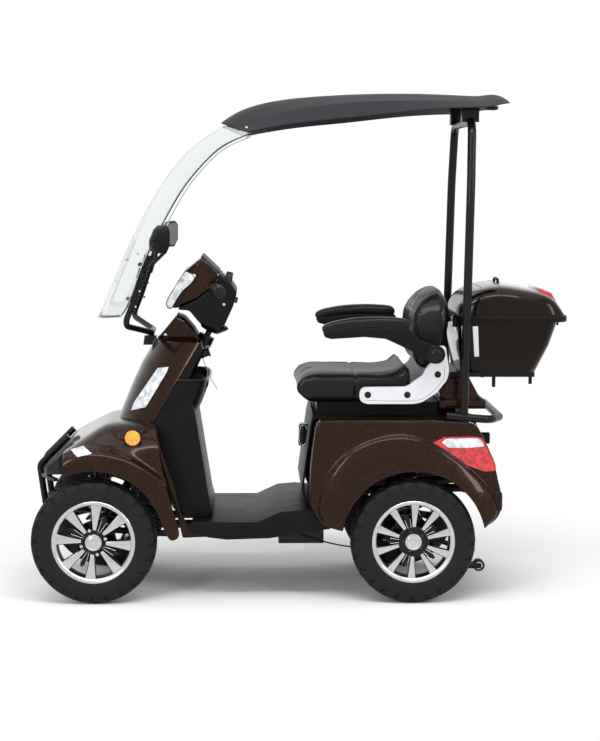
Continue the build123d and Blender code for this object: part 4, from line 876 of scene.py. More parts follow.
@dataclass
class Rim:
    """One cast rim: turned ring and spoke faces over black lacquered pockets, with a domed cap."""

    x: float
    side: Side
    node: str
    body: str
    spokes: int
    first: float
    hub: float
    outlines: Sequence[float]
    nuts: Sequence[float]

    def at(self, angle: float, radius: float, out: float, sideways: float = 0.0) -> Point:
        """Gives a point on the rim, seen from outside, by angle, radius and distance outwards."""
        a = math.radians(angle)
        turn = self.side.value
        along = Vector((-math.cos(a) * turn, 0.0, math.sin(a)))
        across = Vector((math.sin(a) * turn, 0.0, math.cos(a)))
        spot = Vector((self.x, turn * (TRACK + out), AXLE_Z)) + along * radius + across * sideways
        return tuple(spot)

    def bar(self, shape: Shape, angle: float, ends: Sequence[Flat], low: float, high: float) -> None:
        """Adds one wedge that runs outwards.

        Args:
            shape: The shape that takes it.
            angle: Its direction in degrees.
            ends: Pairs of radius and half width.
            low: Its inner face, outwards of the middle plane.
            high: Its outer face at the hub; it rises 2 mm to the ring.
        """
        rows = []
        for radius, half in ends:
            rise = 2.0 * (radius - 40.0) / 85.0
            rows.append([
                self.at(angle, radius, low, -half), self.at(angle, radius, low, half),
                self.at(angle, radius, high + rise, half), self.at(angle, radius, high + rise, -half),
            ])
        part = Shape().loft(rows, ring=True, capped=True).soften(0.7, 2, low=50.0)
        held = bpy.data.meshes.new("bar")
        part.bm.to_mesh(held)
        part.bm.free()
        shape.bm.from_mesh(held)
        bpy.data.meshes.remove(held)

    def build(self) -> None:
        """Makes the black casting and the turned faces as two pieces on the wheel."""
        centre = (self.x, self.side.value * TRACK, AXLE_Z)
        s = self.side.value
        black = Shape()
        black.lathe((
            (-35.8, 135.5), (-36.2, 133.0), (-33.0, 123.0), (-20.0, 119.0), (22.0, 119.0), (28.0, 121.0),
            (29.0, 126.8), (-29.0, 126.8), (-34.0, 135.5), (-35.8, 135.5)), centre, s, steps=72)
        black.lathe((
            (-14.0, 0.2), (-14.0, self.hub - 8), (8.0, self.hub), (24.0, self.hub), (28.0, self.hub - 3.0),
            (29.0, self.hub - 7.0), (29.0, 0.2), (28.4, 0.2), (-14.0, 0.2)), centre, s)
        bright = Shape()
        bright.lathe((
            (30.0, 135.6), (36.0, 135.6), (37.0, 134.2), (36.4, 129.0), (33.0, 123.5), (29.5, 120.5),
            (27.0, 120.5), (27.0, 123.0), (30.0, 126.5), (30.0, 135.6)), centre, s, steps=96)
        bright.lathe((
            (28.8, 27.8), (34.0, 27.8), (35.5, 26.6), (35.5, 22.5), (34.6, 21.5), (35.4, 20.0), (36.4, 13.0),
            (37.0, 8.5), (37.8, 8.0), (38.2, 0.2), (28.8, 0.2), (28.8, 27.8)), centre, s)
        for i in range(self.spokes):
            angle = self.first + i * 360.0 / self.spokes
            wide = 17.0 if self.spokes < 9 else 12.5
            ends = [(self.hub - 4.0, 5.2), (80.0, wide * 0.62), (121.5, wide)]
            self.bar(black, angle, [(r, h + 2.2) for r, h in ends], 13.0, 26.4)
            self.bar(bright, angle, ends, 25.6, 28.2)
        for angle in self.outlines:
            self.bar(black, angle, [(self.hub - 8.0, 9.0), (78.0, 8.0), (90.0, 3.0)], 12.0, 23.0)
            for turn in (-1.0, 1.0):
                arm = [(33.0, 2.5 * turn), (45.0, 4.6 * turn), (60.0, 6.8 * turn), (76.0, 8.8 * turn)]
                bright.wire([self.at(angle, r, 27.6, h) for r, h in arm], 1.25)
            bright.wire([self.at(angle, 36.0, 27.8, -4.0), self.at(angle, 30.5, 27.8, 0.0),
                         self.at(angle, 36.0, 27.8, 4.0)], 1.25)
        for angle in self.nuts:
            bright.stud(self.at(angle, 41.0, 27.0), self.at(angle, 41.0, 34.0), 6.2, 5.6, steps=6)
        black.piece(f"{self.node}_casting", self.body, "rim_alloy", RIM_BLACK, replaced=[self.node])
        bright.piece(f"{self.node}_faces", self.body, "rim_alloy", ALLOY)


@dataclass
class Wheels:
    """The four road wheels, each with its tyre and rim."""

    outlines_front: Sequence[float] = (62.5, -27.5, -117.5, 152.5)
    nuts_front: Sequence[float] = (107.5, 17.5, -72.5, -162.5)
    outlines_rear: Sequence[float] = (105.5, 33.5, -38.5, -110.5, 177.5)

    def build(self) -> None:
        """Builds tyres and rims on both sides."""
        for side in Side:
            word = side.name.lower()
            front_body, rear_body = f"wheel_front_{word}", f"wheel_rear_{word}"
            Tyre(FRONT_X, side, f"tyre_front_{word}", front_body).build()
            Tyre(REAR_X, side, f"tyre_rear_{word}", rear_body).build()
            Rim(FRONT_X, side, f"rim_front_{word}", front_body, 8, 85.0, 44.0,
                self.outlines_front, self.nuts_front).build()
            Rim(REAR_X, side, f"rim_rear_{word}", rear_body, 10, 87.5, 53.0, self.outlines_rear, ()).build()


@dataclass
class Roof:
    """The formed roof: a domed panel with a crease on each side and an upturned rear lip.

    Each section holds the middle's x and z, the edge's x and z, the crease's share of the drop and the
    half width.
    """

    sections: Sequence[tuple[float, float, float, float, float, float]] = (
        (FRONT_X - 406, 1564, FRONT_X - 500, 1530, 0.84, 262),
        (FRONT_X - 450, 1594, FRONT_X - 538, 1539, 0.74, 272),
        (FRONT_X - 497, 1617, FRONT_X - 580, 1546, 0.62, 282),
        (FRONT_X - 602, 1644, FRONT_X - 680, 1562, 0.50, 290),
        (FRONT_X - 760, 1656, FRONT_X - 810, 1574, 0.42, 290),
        (REAR_X + 149, 1663, REAR_X + 149, 1583, 0.42, 290),
        (REAR_X - 35, 1664, REAR_X - 35, 1606, 0.52, 290),
        (REAR_X - 190, 1656, REAR_X - 200, 1611, 0.58, 289),
        (REAR_X - 224, 1655, REAR_X - 240, 1612, 0.60, 288),
        (REAR_X - 268, 1664, REAR_X - 272, 1624, 0.60, 286),
        (REAR_X - 296, 1653, REAR_X - 299, 1625, 0.60, 281),
    )
    spread: Sequence[float] = (0.0, 0.2, 0.4, 0.6, 0.76, 0.795, 0.83, 0.92, 0.985, 1.0)
    skin: float = 4.0

    def drop(self, t: float, share: float) -> float:
        """Gives how much of the drop is reached at a share of the half width."""
        return between(((0.0, 0.0), (0.2, 0.02), (0.4, 0.06), (0.8, share), (1.0, 1.0)), t)

    def build(self) -> None:
        """Lofts the panel and gives it its thickness."""
        rows = []
        for mid_x, mid_z, edge_x, edge_z, share, half in self.sections:
            row = []
            for t in [-t for t in reversed(self.spread[1:])] + list(self.spread):
                gone = self.drop(abs(t), share)
                row.append((mid_x + (edge_x - mid_x) * t * t, half * t, mid_z + (edge_z - mid_z) * gone))
            rows.append(row)
        shape = Shape().loft(rows)
        for face in shape.bm.faces:
            if face.normal.z < 0:
                face.normal_flip()
        bmesh.ops.solidify(shape.bm, geom=shape.bm.faces[:], thickness=self.skin)
        rounder(shape.piece("roof_panel", "chassis", "roof_plastic", ROOF_PE, replaced=["roof_shell"],
                            smooth=60.0))


@dataclass
class Screen:
    """The bowed clear screen, with grey beads of painted shade along its edges."""

    rows: Sequence[tuple[float, float, float, float]] = (
        (7, 916, -88, 933), (-19, 971, -119, 976), (-68, 1094, -160, 1106), (-133, 1235, -228, 1241),
        (-200, 1350, -290, 1352), (-255, 1428, -358, 1431), (-314, 1490, -415, 1486),
        (-398, 1548, -490, 1518), (-419, 1556.5, -511, 1525.5),
    )
    half: float = 240.0
    skin: float = 4.0

    def point(self, row: tuple[float, float, float, float], t: float) -> Point:
        """Gives a point on the sheet at a share of the half width."""
        mid_x, mid_z, edge_x, edge_z = row
        return FRONT_X + mid_x + (edge_x - mid_x) * t * t, self.half * t, mid_z + (edge_z - mid_z) * t * t

    def build(self) -> None:
        """Lofts the sheet and lays grey beads of painted shade along its edges."""
        shares = (-1.0, -0.98, -0.8, -0.5, -0.25, 0.0, 0.25, 0.5, 0.8, 0.98, 1.0)
        shape = Shape().loft([[self.point(row, t) for t in shares] for row in self.rows]).wall(self.skin)
        rounder(shape.piece("screen_sheet", "chassis", "clear_screen", SCREEN, replaced=["windshield"],
                            smooth=60.0))
        beads = Shape()
        for t in (-0.985, 0.985):
            beads.wire([self.point(row, t) for row in self.rows], 1.6)
        beads.wire([self.point(self.rows[0], t / 5) for t in range(-5, 6)], 1.6)
        beads.piece("screen_beads", "chassis", "lamp_clear", SCREEN_EDGE_SHADE)


@dataclass
class Hood:
    """The domed hood with its two wheel arches, lofted across and carried down into the fender tails."""

    line: Sequence[Flat] = ((98, 498), (66, 518), (33, 538), (0, 558), (-36, 577), (-78, 580), (-120, 582),
                            (-160, 586))
    crease: float = 302.0
    skin: float = 3.0

    def section(self, y: float) -> float:
        """Gives the height that the front section allows at a distance from the middle."""
        return between(((0, 640), (150, 622), (205, 578), (300, 508), (338, 468)), y)

    def height(self, top: float, y: float) -> float:
        """Blends the side line and the front section with a soft corner."""
        gap = self.section(y) - top
        reach = 26.0
        return min(top, top + gap) - max(0.0, reach - abs(gap)) ** 2 / (4 * reach)

    def build(self) -> None:
        """Builds one half with its tail, mirrors it and gives it a wall."""
        across = (0.0, 60.0, 120.0, 165.0, 205.0, 250.0, 285.0)
        rows = []
        for x, top in self.line:
            low = AXLE_Z + math.sqrt(ARCH_R ** 2 - x ** 2)
            row = [(y, self.height(top, y)) for y in across]
            crease = min(AXLE_Z + math.sqrt(self.crease ** 2 - x ** 2), row[-1][1] - 12.0)
            row += [(303.0, crease + 8.0), (312.0, crease + 1.0), (325.0, crease - 4.0),
                    (334.0, crease - 15.0),
                    (338.0, (crease + low) / 2), (338.0, low + 9.0), (335.0, low + 1.0), (322.0, low + 3.0)]
            rows.append([(FRONT_X + x, y, z) for y, z in row])
        edge = [(-196, 590), (-197, 590), (-198, 589), (-200, 586), (-203, 575), (-208, 545), (-212, 519),
                (-225, 444), (-233, 415), (-236, 405), (-239, 392), (-222, 354), (-206, 330), (-200, 323),
                (-203, 321)]
        ys = list(across) + [303.0, 311.0, 324.0, 334.0, 338.0, 338.0, 335.0, 322.0]
        back_top = edge[0][1]
        last = []
        for (x, z), y in zip(edge, ys):
            last.append((FRONT_X + x, y, min(z, self.height(back_top, y)) if y < 303 else z))
        rows.append(last)
        shape = Shape().loft(rows)
        tail = [last[10:]]
        for row in (
                ((-262, 334, 306), (-243, 338, 295), (-225, 338, 285), (-218, 335, 280), (-221, 322, 279)),
                ((-279, 333, 256), (-258, 337, 246), (-239, 337, 238), (-232, 334, 236), (-235, 322, 236)),
                ((-281, 331, 226), (-268, 334, 216), (-257, 334, 213), (-249, 331, 214), (-250, 322, 215))):
            tail.append([(FRONT_X + x, y, z) for x, y, z in row])
        shape.loft(tail)
        bmesh.ops.remove_doubles(shape.bm, verts=shape.bm.verts, dist=0.05)
        shape.mirrored().wall(self.skin)
        rounder(shape.piece("hood_skin", "chassis", "brown_gloss", BROWN, replaced=["front_hood"],
                            smooth=70.0))


@dataclass
class RearSides:
    """The two rear side panels: a flared arch with a crease, a flat face, and edges that turn inwards."""

    outline: Sequence[Flat] = (
        (300, 256), (330, 308), (341, 330), (338, 400), (332, 480), (324, 560), (317, 592), (303, 603),
        (240, 603), (160, 603), (80, 603), (0, 603), (-95, 603), (-168, 595), (-206, 592), (-220, 556),
        (-244, 508), (-264, 460), (-273, 425), (-278, 398), (-287, 372), (-289, 330), (-288, 296),
        (-268, 270), (-250, 258),
    )
    skin: float = 3.0

    def crease(self, angle: float) -> float:
        """Gives the radius of the swept crease above the arch at an angle in degrees from the front."""
        return between(((-90, 300), (15, 322), (28, 345), (45, 360), (60, 364), (75, 359), (88, 352),
                        (100, 330), (112, 308), (130, 297), (270, 297)), angle)

    def ray(self, spot: Flat, radius: float) -> Flat:
        """Gives the point at a radius on the way from the axle to a point of the outline."""
        dx, dz = spot[0], spot[1] - AXLE_Z
        far = math.hypot(dx, dz)
        return dx / far * radius, AXLE_Z + dz / far * radius

    def row(self, spot: Flat) -> list[Point]:
        """Gives one row from the arch's lip out to the turned-in edge."""
        made = []
        far = math.hypot(spot[0], spot[1] - AXLE_Z)
        angle = math.degrees(math.atan2(spot[1] - AXLE_Z, spot[0]))
        crease = min(self.crease(angle), far - 14.0)
        for share, y in ((0.02, 312.0), (0.0, 330.0), (0.02, 336.5), (0.09, 338.0), (0.2, 336.5),
                         (0.5, 330.0), (0.85, 319.0), (0.95, 314.5), (1.0, 307.0), (1.06, 302.0)):
            radius = ARCH_R + (crease - ARCH_R) * share
            made.append((*self.ray(spot, radius), y))
        start = crease + 6.0
        for share, y in ((0.3, 300.5), (0.8, 300.5)):
            made.append((*self.ray(spot, start + (far - 4.0 - start) * share), y))
        for inset, y in ((4.0, 299.5), (0.8, 296.0), (0.0, 290.0), (0.0, 250.0), (0.5, 215.0)):
            made.append((*self.ray(spot, far - inset), y))
        return [(REAR_X + x, y, z) for x, z, y in made]

    def build(self) -> None:
        """Lofts each side from the rows that run round the arch."""
        shape = Shape().loft([self.row(spot) for spot in self.outline]).mirrored().wall(self.skin)
        rounder(shape.piece("rear_side_skins", "chassis", "brown_gloss", BROWN,
                            replaced=["rear_side_panels"], smooth=70.0))


def swollen(made: bpy.types.Object, voxel: float, cap: float, frames: int = 20) -> bpy.types.Object:
    """Blows a closed pad up as stuffed cloth, and keeps the result.

    Args:
        made: The pad, a little smaller than it ends up.
        voxel: The remesh size in millimetres.
        cap: How far a point may move, in millimetres.
        frames: How many frames the air has.

    Returns:
        The pad.
    """
    remeshed(made, voxel, 8)
    settle(made)
    start = [v.co.copy() for v in made.data.vertices]
    cloth = made.modifiers.new("air", "CLOTH")
    cloth.settings.quality = 4
    cloth.settings.use_pressure = True
    cloth.settings.uniform_pressure_force = 4.0
    cloth.settings.effector_weights.gravity = 0.0
    cloth.point_cache.frame_start = 1
    cloth.point_cache.frame_end = frames
    for moment in range(1, frames + 1):
        bpy.context.scene.frame_set(moment)
    settle(made)
    bpy.context.scene.frame_set(1)
    for vert, home in zip(made.data.vertices, start):
        move = vert.co - home
        if move.length > cap * MM:
            vert.co = home + move.normalized() * cap * MM
    smooth = made.modifiers.new("ease", "SMOOTH")
    smooth.iterations = 3
    finer = made.modifiers.new("finer", "SUBSURF")
    finer.levels = finer.render_levels = 1
    settle(made)
    for face in made.data.polygons:
        face.use_smooth = True
    return made


def seam(away: float, depth: float) -> float:
    """Gives the depth of a sewn channel at a distance from its line."""
    return depth * math.exp(-(away / 5.0) ** 2)


def pressed(made: bpy.types.Object, depth_at: Callable[[Vector], float]) -> None:
    """Presses sewn channels into a pad along its normals.

    Args:
        made: The pad.
        depth_at: Gives a depth in millimetres for a point in millimetres.
    """
    moves = [v.normal * depth_at(v.co / MM) * MM for v in made.data.vertices]
    for vert, move in zip(made.data.vertices, moves):
        vert.co -= move


def traced(made: bpy.types.Object, starts: Iterable[Point], aim: Point, lift: float) -> list[Point]:
    """Finds where straight lines meet a piece's surface.

    Args:
        made: The piece.
        starts: Where each line starts, in millimetres.
        aim: The direction of the lines.
        lift: How far off the surface the points end, in millimetres.

    Returns:
        The points, in millimetres.
    """
    found = []
    for start in starts:
        hit, spot, normal, _ = made.ray_cast(Vector(start) * MM, Vector(aim))
        if hit:
            found.append(tuple(spot / MM + normal * lift))
    return found


@dataclass
class Seat:
    """The padded seat: cushion, backrest and armrests by cloth simulation, with welts, bolts and rings."""

    cushion: Sequence[Flat] = (
        (350, 657), (382, 684), (388, 704), (370, 728), (328, 737), (190, 737), (90, 737), (52, 744),
        (22, 768), (4, 776), (-2, 740), (2, 660), (180, 656),
    )
    back: Sequence[Flat] = (
        (-16, 815), (-10, 883), (-16, 954), (-38, 998), (-66, 1024), (-90, 1030), (-112, 1014), (-119, 982),
        (-118, 933), (-101, 812), (-86, 760), (-26, 760),
    )
    arm: Sequence[Flat] = (
        (298, 888), (292, 874), (272, 868), (165, 875), (97, 869), (53, 849), (3, 825), (-36, 797),
        (-60, 788), (-92, 800), (-96, 830), (-58, 850), (-12, 866), (10, 890), (20, 904), (165, 906),
        (240, 900), (290, 893),
    )
    pad: Sequence[Flat] = (
        (304, 892), (302, 907), (290, 916), (262, 925), (202, 935), (116, 939), (34, 935), (20, 927),
        (15, 912), (24, 899), (97, 898), (165, 899), (240, 892), (290, 885),
    )
    cross_seam: float = REAR_X + 185.0

    def build_cushion(self) -> None:
        """Makes the cushion, its cross channel and its lengthwise welts."""
        shape = Shape().plate(rear(self.cushion), -223.0, 223.0).soften(20.0, 3, low=60.0)
        made = shape.piece("seat_cushion_pad", "chassis", "seat_leather", LEATHER, replaced=["seat_cushion"])
        swollen(made, 7.0, 9.0)

        def channel(spot: Vector) -> float:
            """Gives the depth of the seams and of the hollow that the rider leaves."""
            cross = seam(spot.x - self.cross_seam, 5.0) if spot.z > 668 else 0.0
            if spot.z <= 718:
                return cross
            hollow = 7.0 * math.exp(-((spot.x - REAR_X - 150) / 110) ** 2 - (spot.y / 120) ** 2)
            return cross + seam(abs(spot.y) - 150.0, 2.2) + hollow

        pressed(made, channel)
        welts = Shape()
        for y in (-196.0, 196.0):
            line = [(REAR_X + x, y, 860.0) for x in range(12, 381, 16)]
            welts.wire(traced(made, line, (0, 0, -1), 0.3), 1.7)
        welts.piece("seat_cushion_welts", "chassis", "seat_leather", THREAD)

    def build_back(self) -> None:
        """Makes the backrest with rounded shoulders, its side welts and its cross channel."""
        half = 213.0
        shape = Shape().plate(rear(self.back), -half, half).soften(20.0, 3, low=60.0)
        for plane in (-150.0, -75.0, 0.0, 75.0, 150.0):
            shape.cut(Axis.Y, plane)
        for height in (850.0, 900.0, 950.0, 1000.0):
            shape.cut(Axis.Z, height)

        def shoulder(spot: Vector) -> Vector:
            """Draws the top corners in and dishes the front a little."""
            share = max(0.0, (spot.z - 850.0) / 185.0)
            width = 1.0 - 0.24 * share ** 2.2
            out = abs(spot.y) / half
            dish = 10.0 * out ** 2 * (1 if spot.x > REAR_X - 60 else 0.2)
            return Vector((spot.x + dish, spot.y * width, spot.z - 26.0 * share * out ** 3))

        shape.drape(shoulder)
        made = shape.piece("seat_back_pad", "chassis", "seat_leather", LEATHER, replaced=["seat_back"])
        swollen(made, 7.0, 8.0)

        def channel(spot: Vector) -> float:
            """Gives the depth of the two upright seams and of the cross seam on the front."""
            if spot.x < REAR_X - 55:
                return 0.0
            upright = seam(abs(spot.y) - 118.0 + (spot.z - 850) * 0.08, 3.0)
            cross = seam(spot.z - 952.0, 3.5) if abs(spot.y) < 170 else 0.0
            return upright + cross

        pressed(made, channel)
        welts = Shape()
        for y in (-1.0, 1.0):
            line = [(REAR_X + 160.0, y * (190.0 - max(0.0, z - 900) * 0.28), z) for z in range(790, 1016, 12)]
            welts.wire(traced(made, line, (-1, 0, 0), 0.3), 1.7)
        welts.piece("seat_back_welts", "chassis", "seat_leather", THREAD)

    def build_armrests(self) -> None:
        """Makes each armrest: a moulded arm with a padded top, both riding on the folding body."""
        for side in Side:
            s, word = side.value, side.name.lower()
            arm = Shape().plate(rear(self.arm), s * 268.0, s * 314.0).soften(6.0, 4, low=24.0)
            arm.piece(f"armrest_arm_{word}", f"armrest_{word}", "black_plastic", BLACK_ABS,
                      replaced=[f"armrest_{word}"])
            pad = Shape().plate(rear(self.pad), s * 267.0, s * 315.0).soften(8.0, 3, low=60.0)
            made = pad.piece(f"armrest_pad_{word}", f"armrest_{word}", "seat_leather", LEATHER)
            swollen(made, 6.0, 3.0)

    def build_fittings(self) -> None:
        """Sets the bracket bolts, their pressed line, and the rings on the armrests' pivots."""
        for side in Side:
            s, word = side.value, side.name.lower()
            bolts = Shape()
            for x, z in ((149, 681), (20, 681), (-79, 748)):
                bolts.dome((REAR_X + x, s * 256.0, z), 8.5, 4.5, Vector((0, s, 0)), 16)
                bolts.stud((REAR_X + x, s * 255.8, z), (REAR_X + x, s * 257.4, z), 11.0, 10.2, 24)
            bolts.piece(f"bracket_bolts_{word}", "chassis", "black_steel", BLACK_TUBE)
            line = Shape()
            line.wire([(REAR_X + x, s * 256.1, z) for x, z in (
                (152, 663), (60, 661), (0, 661), (-30, 667), (-62, 690), (-96, 727), (-103, 750),
                (-100, 776))], 0.9)
            line.piece(f"bracket_line_{word}", "chassis", "silver_paint", ZINC)
            rings = Shape().lathe((
                (-1.0, 29.5), (2.0, 29.5), (3.4, 28.0), (3.2, 25.0), (1.4, 23.6), (1.2, 16.5), (2.8, 15.0),
                (3.6, 10.0), (3.8, 0.2), (-1.0, 0.2), (-1.0, 29.5)), (ARM_PIVOT_X, s * 318.0, ARM_PIVOT_Z), s)
            rings.piece(f"armrest_rings_{word}", f"armrest_{word}", "black_plastic", SMOOTH_ABS)

    def build(self) -> None:
        """Builds the pads and their fittings."""
        self.build_cushion()
        self.build_back()
        self.build_armrests()
        self.build_fittings()


@dataclass
class SteeringHead:
    """What shows on the steering head: the wrapped headlight, the grips, the dash and the small lamp."""

    lamp: Sequence[Flat] = (
        (-294, 1077), (-330, 1064), (-318, 1038), (-288, 1014), (-268, 987), (-256, 966), (-248, 950),
        (-232, 952), (-227, 971), (-258, 1022),
    )
    plan: Sequence[Flat] = ((225, 80.0), (260, 113.0), (330, 143.0), (410, 150.0))
    grip_start: Point = (283.0 - 14.0, 196.0, 1025.5 - 5.0)
    grip_end: Point = (261.0, 328.0, 1016.5)

    def width(self, x: float) -> float:
        """Gives the head's half width at an x that counts from the front axle."""
        return between(self.plan, -x)

    def build_lamp(self) -> None:
        """Wraps the lens round the head's front and both flanks, with a dark rim."""
        shape = Shape().plate(front(self.lamp), -1.0, 1.0)
        for x in (-245.0, -260.0, -275.0, -290.0, -305.0):
            shape.cut(Axis.X, FRONT_X + x)

        def wrap(spot: Vector) -> Vector:
            """Moves a point out to the head's flank."""
            return Vector((spot.x, math.copysign(self.width(spot.x - FRONT_X) + 1.6, spot.y), spot.z))

        shape.drape(wrap)
        for plane in (-70.0, -35.0, 0.0, 35.0, 70.0):
            shape.cut(Axis.Y, plane)
        shape.soften(2.5, 3, low=24.0)
        shape.piece("headlight_lens", "steering", "lamp_clear", CLEAR_LAMP, replaced=["headlight"],
                    smooth=45.0)
        rim = Shape()
        for s in (-1.0, 1.0):
            rim.wire([(FRONT_X + x, s * (self.width(x) + 1.4), z) for x, z in (*self.lamp, self.lamp[0])],
                     1.6)
        rim.piece("headlight_rim", "steering", "black_plastic", SMOOTH_ABS)

    def build_controls(self) -> None:
        """Adds the ribbed grips, the knobs, the dash's edge and plate, and the small lamp."""
        for side in Side:
            s = side.value
            start = Vector((self.grip_start[0], s * self.grip_start[1], self.grip_start[2]))
            end = Vector((self.grip_end[0], s * self.grip_end[1], self.grip_end[2]))
            way = (end - start).normalized()
            grip = Shape()
            for i in range(11):
                spot = start + way * (14.0 + i * 9.5)
                grip.stud(tuple(spot - way * 2.6), tuple(spot + way * 2.6), 18.2, steps=28)
            grip.stud(tuple(end - way * 4.0), tuple(end + way * 1.0), 19.5, 18.0, 28)
            grip.soften(0.8, 2, low=50.0)
            grip.piece(f"grip_ribs_{side.name.lower()}", "steering", "tyre_rubber", RUBBER)
        knobs = Shape()
        for y in (96, -96):
            knobs.stud((FRONT_X - 434, y, 1040), (FRONT_X - 440, y, 1062), 14.0, 11.0)
        knobs.stud((FRONT_X - 452, 60, 979), (FRONT_X - 466, 60, 975), 11.0, 9.5)
        knobs.soften(1.6, 3, low=40.0)
        knobs.piece("dash_knobs", "steering", "black_plastic", BATTERY)
        edge = Shape().plate(front(((-344, 1122), (-350, 1126), (-407, 1072), (-403, 1067))), -126.0, 126.0)
        edge.soften(2.4, 3, low=40.0)
        edge.piece("dash_edge", "steering", "black_plastic", BLACK_ABS)
        light = Shape().dome((FRONT_X - 421, 139, 967), 5.5, 4.0, Vector((0, 1, 0)))
        light.piece("side_pilot_lamp", "steering", "lamp_amber", AMBER_LAMP)
        panel = Shape().plate(front(((-411, 1063), (-446, 1032), (-449, 1035), (-414, 1067))), -78.0, 78.0)
        panel.soften(1.0, 2, low=40.0)
        panel.piece("dash_plate", "steering", "black_plastic", SMOOTH_ABS)

    def build(self) -> None:
        """Builds the lamp and the controls."""
        self.build_lamp()
        self.build_controls()


@dataclass
class FrontTrim:
    """What shows on the front body: indicators, lamps, the shield's flanks, the pocket and the key."""

    indicator: Point = (FRONT_X - 127.0, 283.0, 543.0)

    def build_indicators(self) -> None:
        """Sets each amber lens in a black cone on the hood's flank."""
        amber, cone = Shape(), Shape()
        for side in Side:
            s = side.value
            centre = (self.indicator[0], s * self.indicator[1], self.indicator[2])
            amber.lathe((
                (-4.0, 25.0), (1.0, 25.0), (2.6, 23.5), (3.0, 15.0), (3.4, 14.0), (3.6, 0.2), (-4.0, 0.2),
                (-4.0, 25.0)), centre, s, steps=40)
            cone.lathe((
                (-62.0, 20.0), (-30.0, 25.0), (-4.0, 28.5), (0.6, 28.5), (1.0, 26.5), (0.0, 25.2),
                (-4.0, 24.8), (-30.0, 22.0), (-62.0, 18.0), (-62.0, 20.0)), centre, s, steps=40)
        amber.piece("indicator_lenses", "chassis", "lamp_amber", AMBER_LAMP, replaced=["indicator_lamps"])
        cone.piece("indicator_cones", "chassis", "black_plastic", SMOOTH_ABS)

    def build_lamps(self) -> None:
        """Lays the nose lamps on the hood's shoulders, and gives the long side lamps rounded edges."""
        hood = bpy.data.objects["hood_skin"]
        corners = [Vector(c) for c in ((70, 506), (31, 517), (1, 498), (46, 489))]
        nose = Shape()
        for side in Side:
            rows = []
            for i in range(7):
                near = corners[0].lerp(corners[1], i / 6)
                far = corners[3].lerp(corners[2], i / 6)
                spots = [near.lerp(far, j / 4) for j in range(5)]
                starts = [(FRONT_X + spot.x, side.value * 600.0, spot.y) for spot in spots]
                rows.append(traced(hood, starts, (0, -side.value, 0), 3.0))
            nose.loft([row for row in rows if len(row) == 5])
        nose.wall(4.0)
        nose.piece("nose_lamps", "chassis", "lamp_clear", CLEAR_LAMP)
        long = Shape().copy("front_lamps")
        low = [v for v in long.bm.verts if v.co.z < 570.0]
        bmesh.ops.delete(long.bm, geom=low, context="VERTS")
        long.soften(4.0, 4, low=40.0)
        long.piece("side_lamps", "chassis", "lamp_clear", CLEAR_LAMP, replaced=["front_lamps"])

    def build_rails(self) -> None:
        """Adds the shield's brown side flanks, the band under the upper cowl and its black cap."""
        rail = Shape()
        for side in Side:
            rail.plate(front(((-158, 592), (-199, 572), (-213, 497), (-255, 380), (-279, 284), (-301, 243),
                              (-322, 222), (-359, 215), (-368, 201), (-285, 198), (-267, 274), (-231, 380),
                              (-188, 497))),
                       side.value * 196.0, side.value * 205.0)
        rail.soften(2.0, 3, low=50.0)
        rail.piece("shield_flanks", "chassis", "brown_gloss", BROWN)
        half = [(-198, 26), (-210, 44), (-234, 64), (-300, 88), (-336, 91)]
        plan = half + [(x, -y) for x, y in reversed(half)]
        band = Shape().plate(front(plan), 838.0, 853.0, Axis.Z).soften(2.0, 3, low=40.0)
        band.piece("cowl_band", "chassis", "brown_gloss", BROWN)
        cap = Shape().plate(front(((-262, 926), (-289, 915), (-319, 881), (-339, 847), (-334, 845),
                                   (-314, 876), (-285, 909), (-264, 920))), -78.0, 78.0).soften(2.0, 3,
                                                                                                low=40.0)
        cap.piece("cowl_cap", "chassis", "black_plastic", BLACK_ABS)

    def build_pocket(self) -> None:
        """Lofts the open pocket that wraps the inner panel, with its rolled rim."""
        rows = []
        for z, nose, tail, half in ((578, -194, -300, 150), (584, -195, -316, 178), (604, -200, -332, 192),
                                    (640, -222, -350, 199), (690, -252, -367, 201), (722, -270, -374, 202)):
            row = [(nose, half + 2), ((nose + tail) / 2 - 16, half), (tail + 12, half * 0.88),
                   (tail + 1, half * 0.5)]
            full = row + [(tail - 1, 0.0)] + [(x, -y) for x, y in reversed(row)]
            rows.append([(FRONT_X + x, y, float(z)) for x, y in full])
        shape = Shape().loft(rows).wall(3.0)
        rounder(shape.piece("pocket_wrap", "chassis", "black_plastic", BLACK_ABS, smooth=70.0))
        rim = Shape().wire(rows[-1], 4.2, steps=6)
        rim.piece("pocket_rim", "chassis", "black_plastic", SMOOTH_ABS)

    def build_key(self) -> None:
        """Adds the key barrel with its thin wire."""
        key = Shape()
        key.stud((FRONT_X - 340, 46, 792), (FRONT_X - 366, 46, 800), 15.0, 13.0)
        key.stud((FRONT_X - 366, 46, 800), (FRONT_X - 372, 46, 802), 17.0, 16.0)
        key.soften(1.4, 3, low=40.0)
        key.piece("key_barrel", "chassis", "black_plastic", SMOOTH_ABS)
        wire = Shape().wire([(FRONT_X + x, 46.0, z) for x, z in (
            (-340, 812), (-346, 786), (-352, 770), (-360, 748), (-372, 716), (-388, 690), (-399, 672))], 1.2)
        wire.wire([(FRONT_X + x, 46.0, z) for x, z in (
            (-366, 804), (-372, 818), (-362, 824), (-350, 812), (-344, 792), (-350, 776))], 1.8)
        wire.piece("key_wire", "chassis", "black_steel", ZINC)

    def build(self) -> None:
        """Builds the trim."""
        self.build_indicators()
        self.build_lamps()
        self.build_rails()
        self.build_pocket()
        self.build_key()


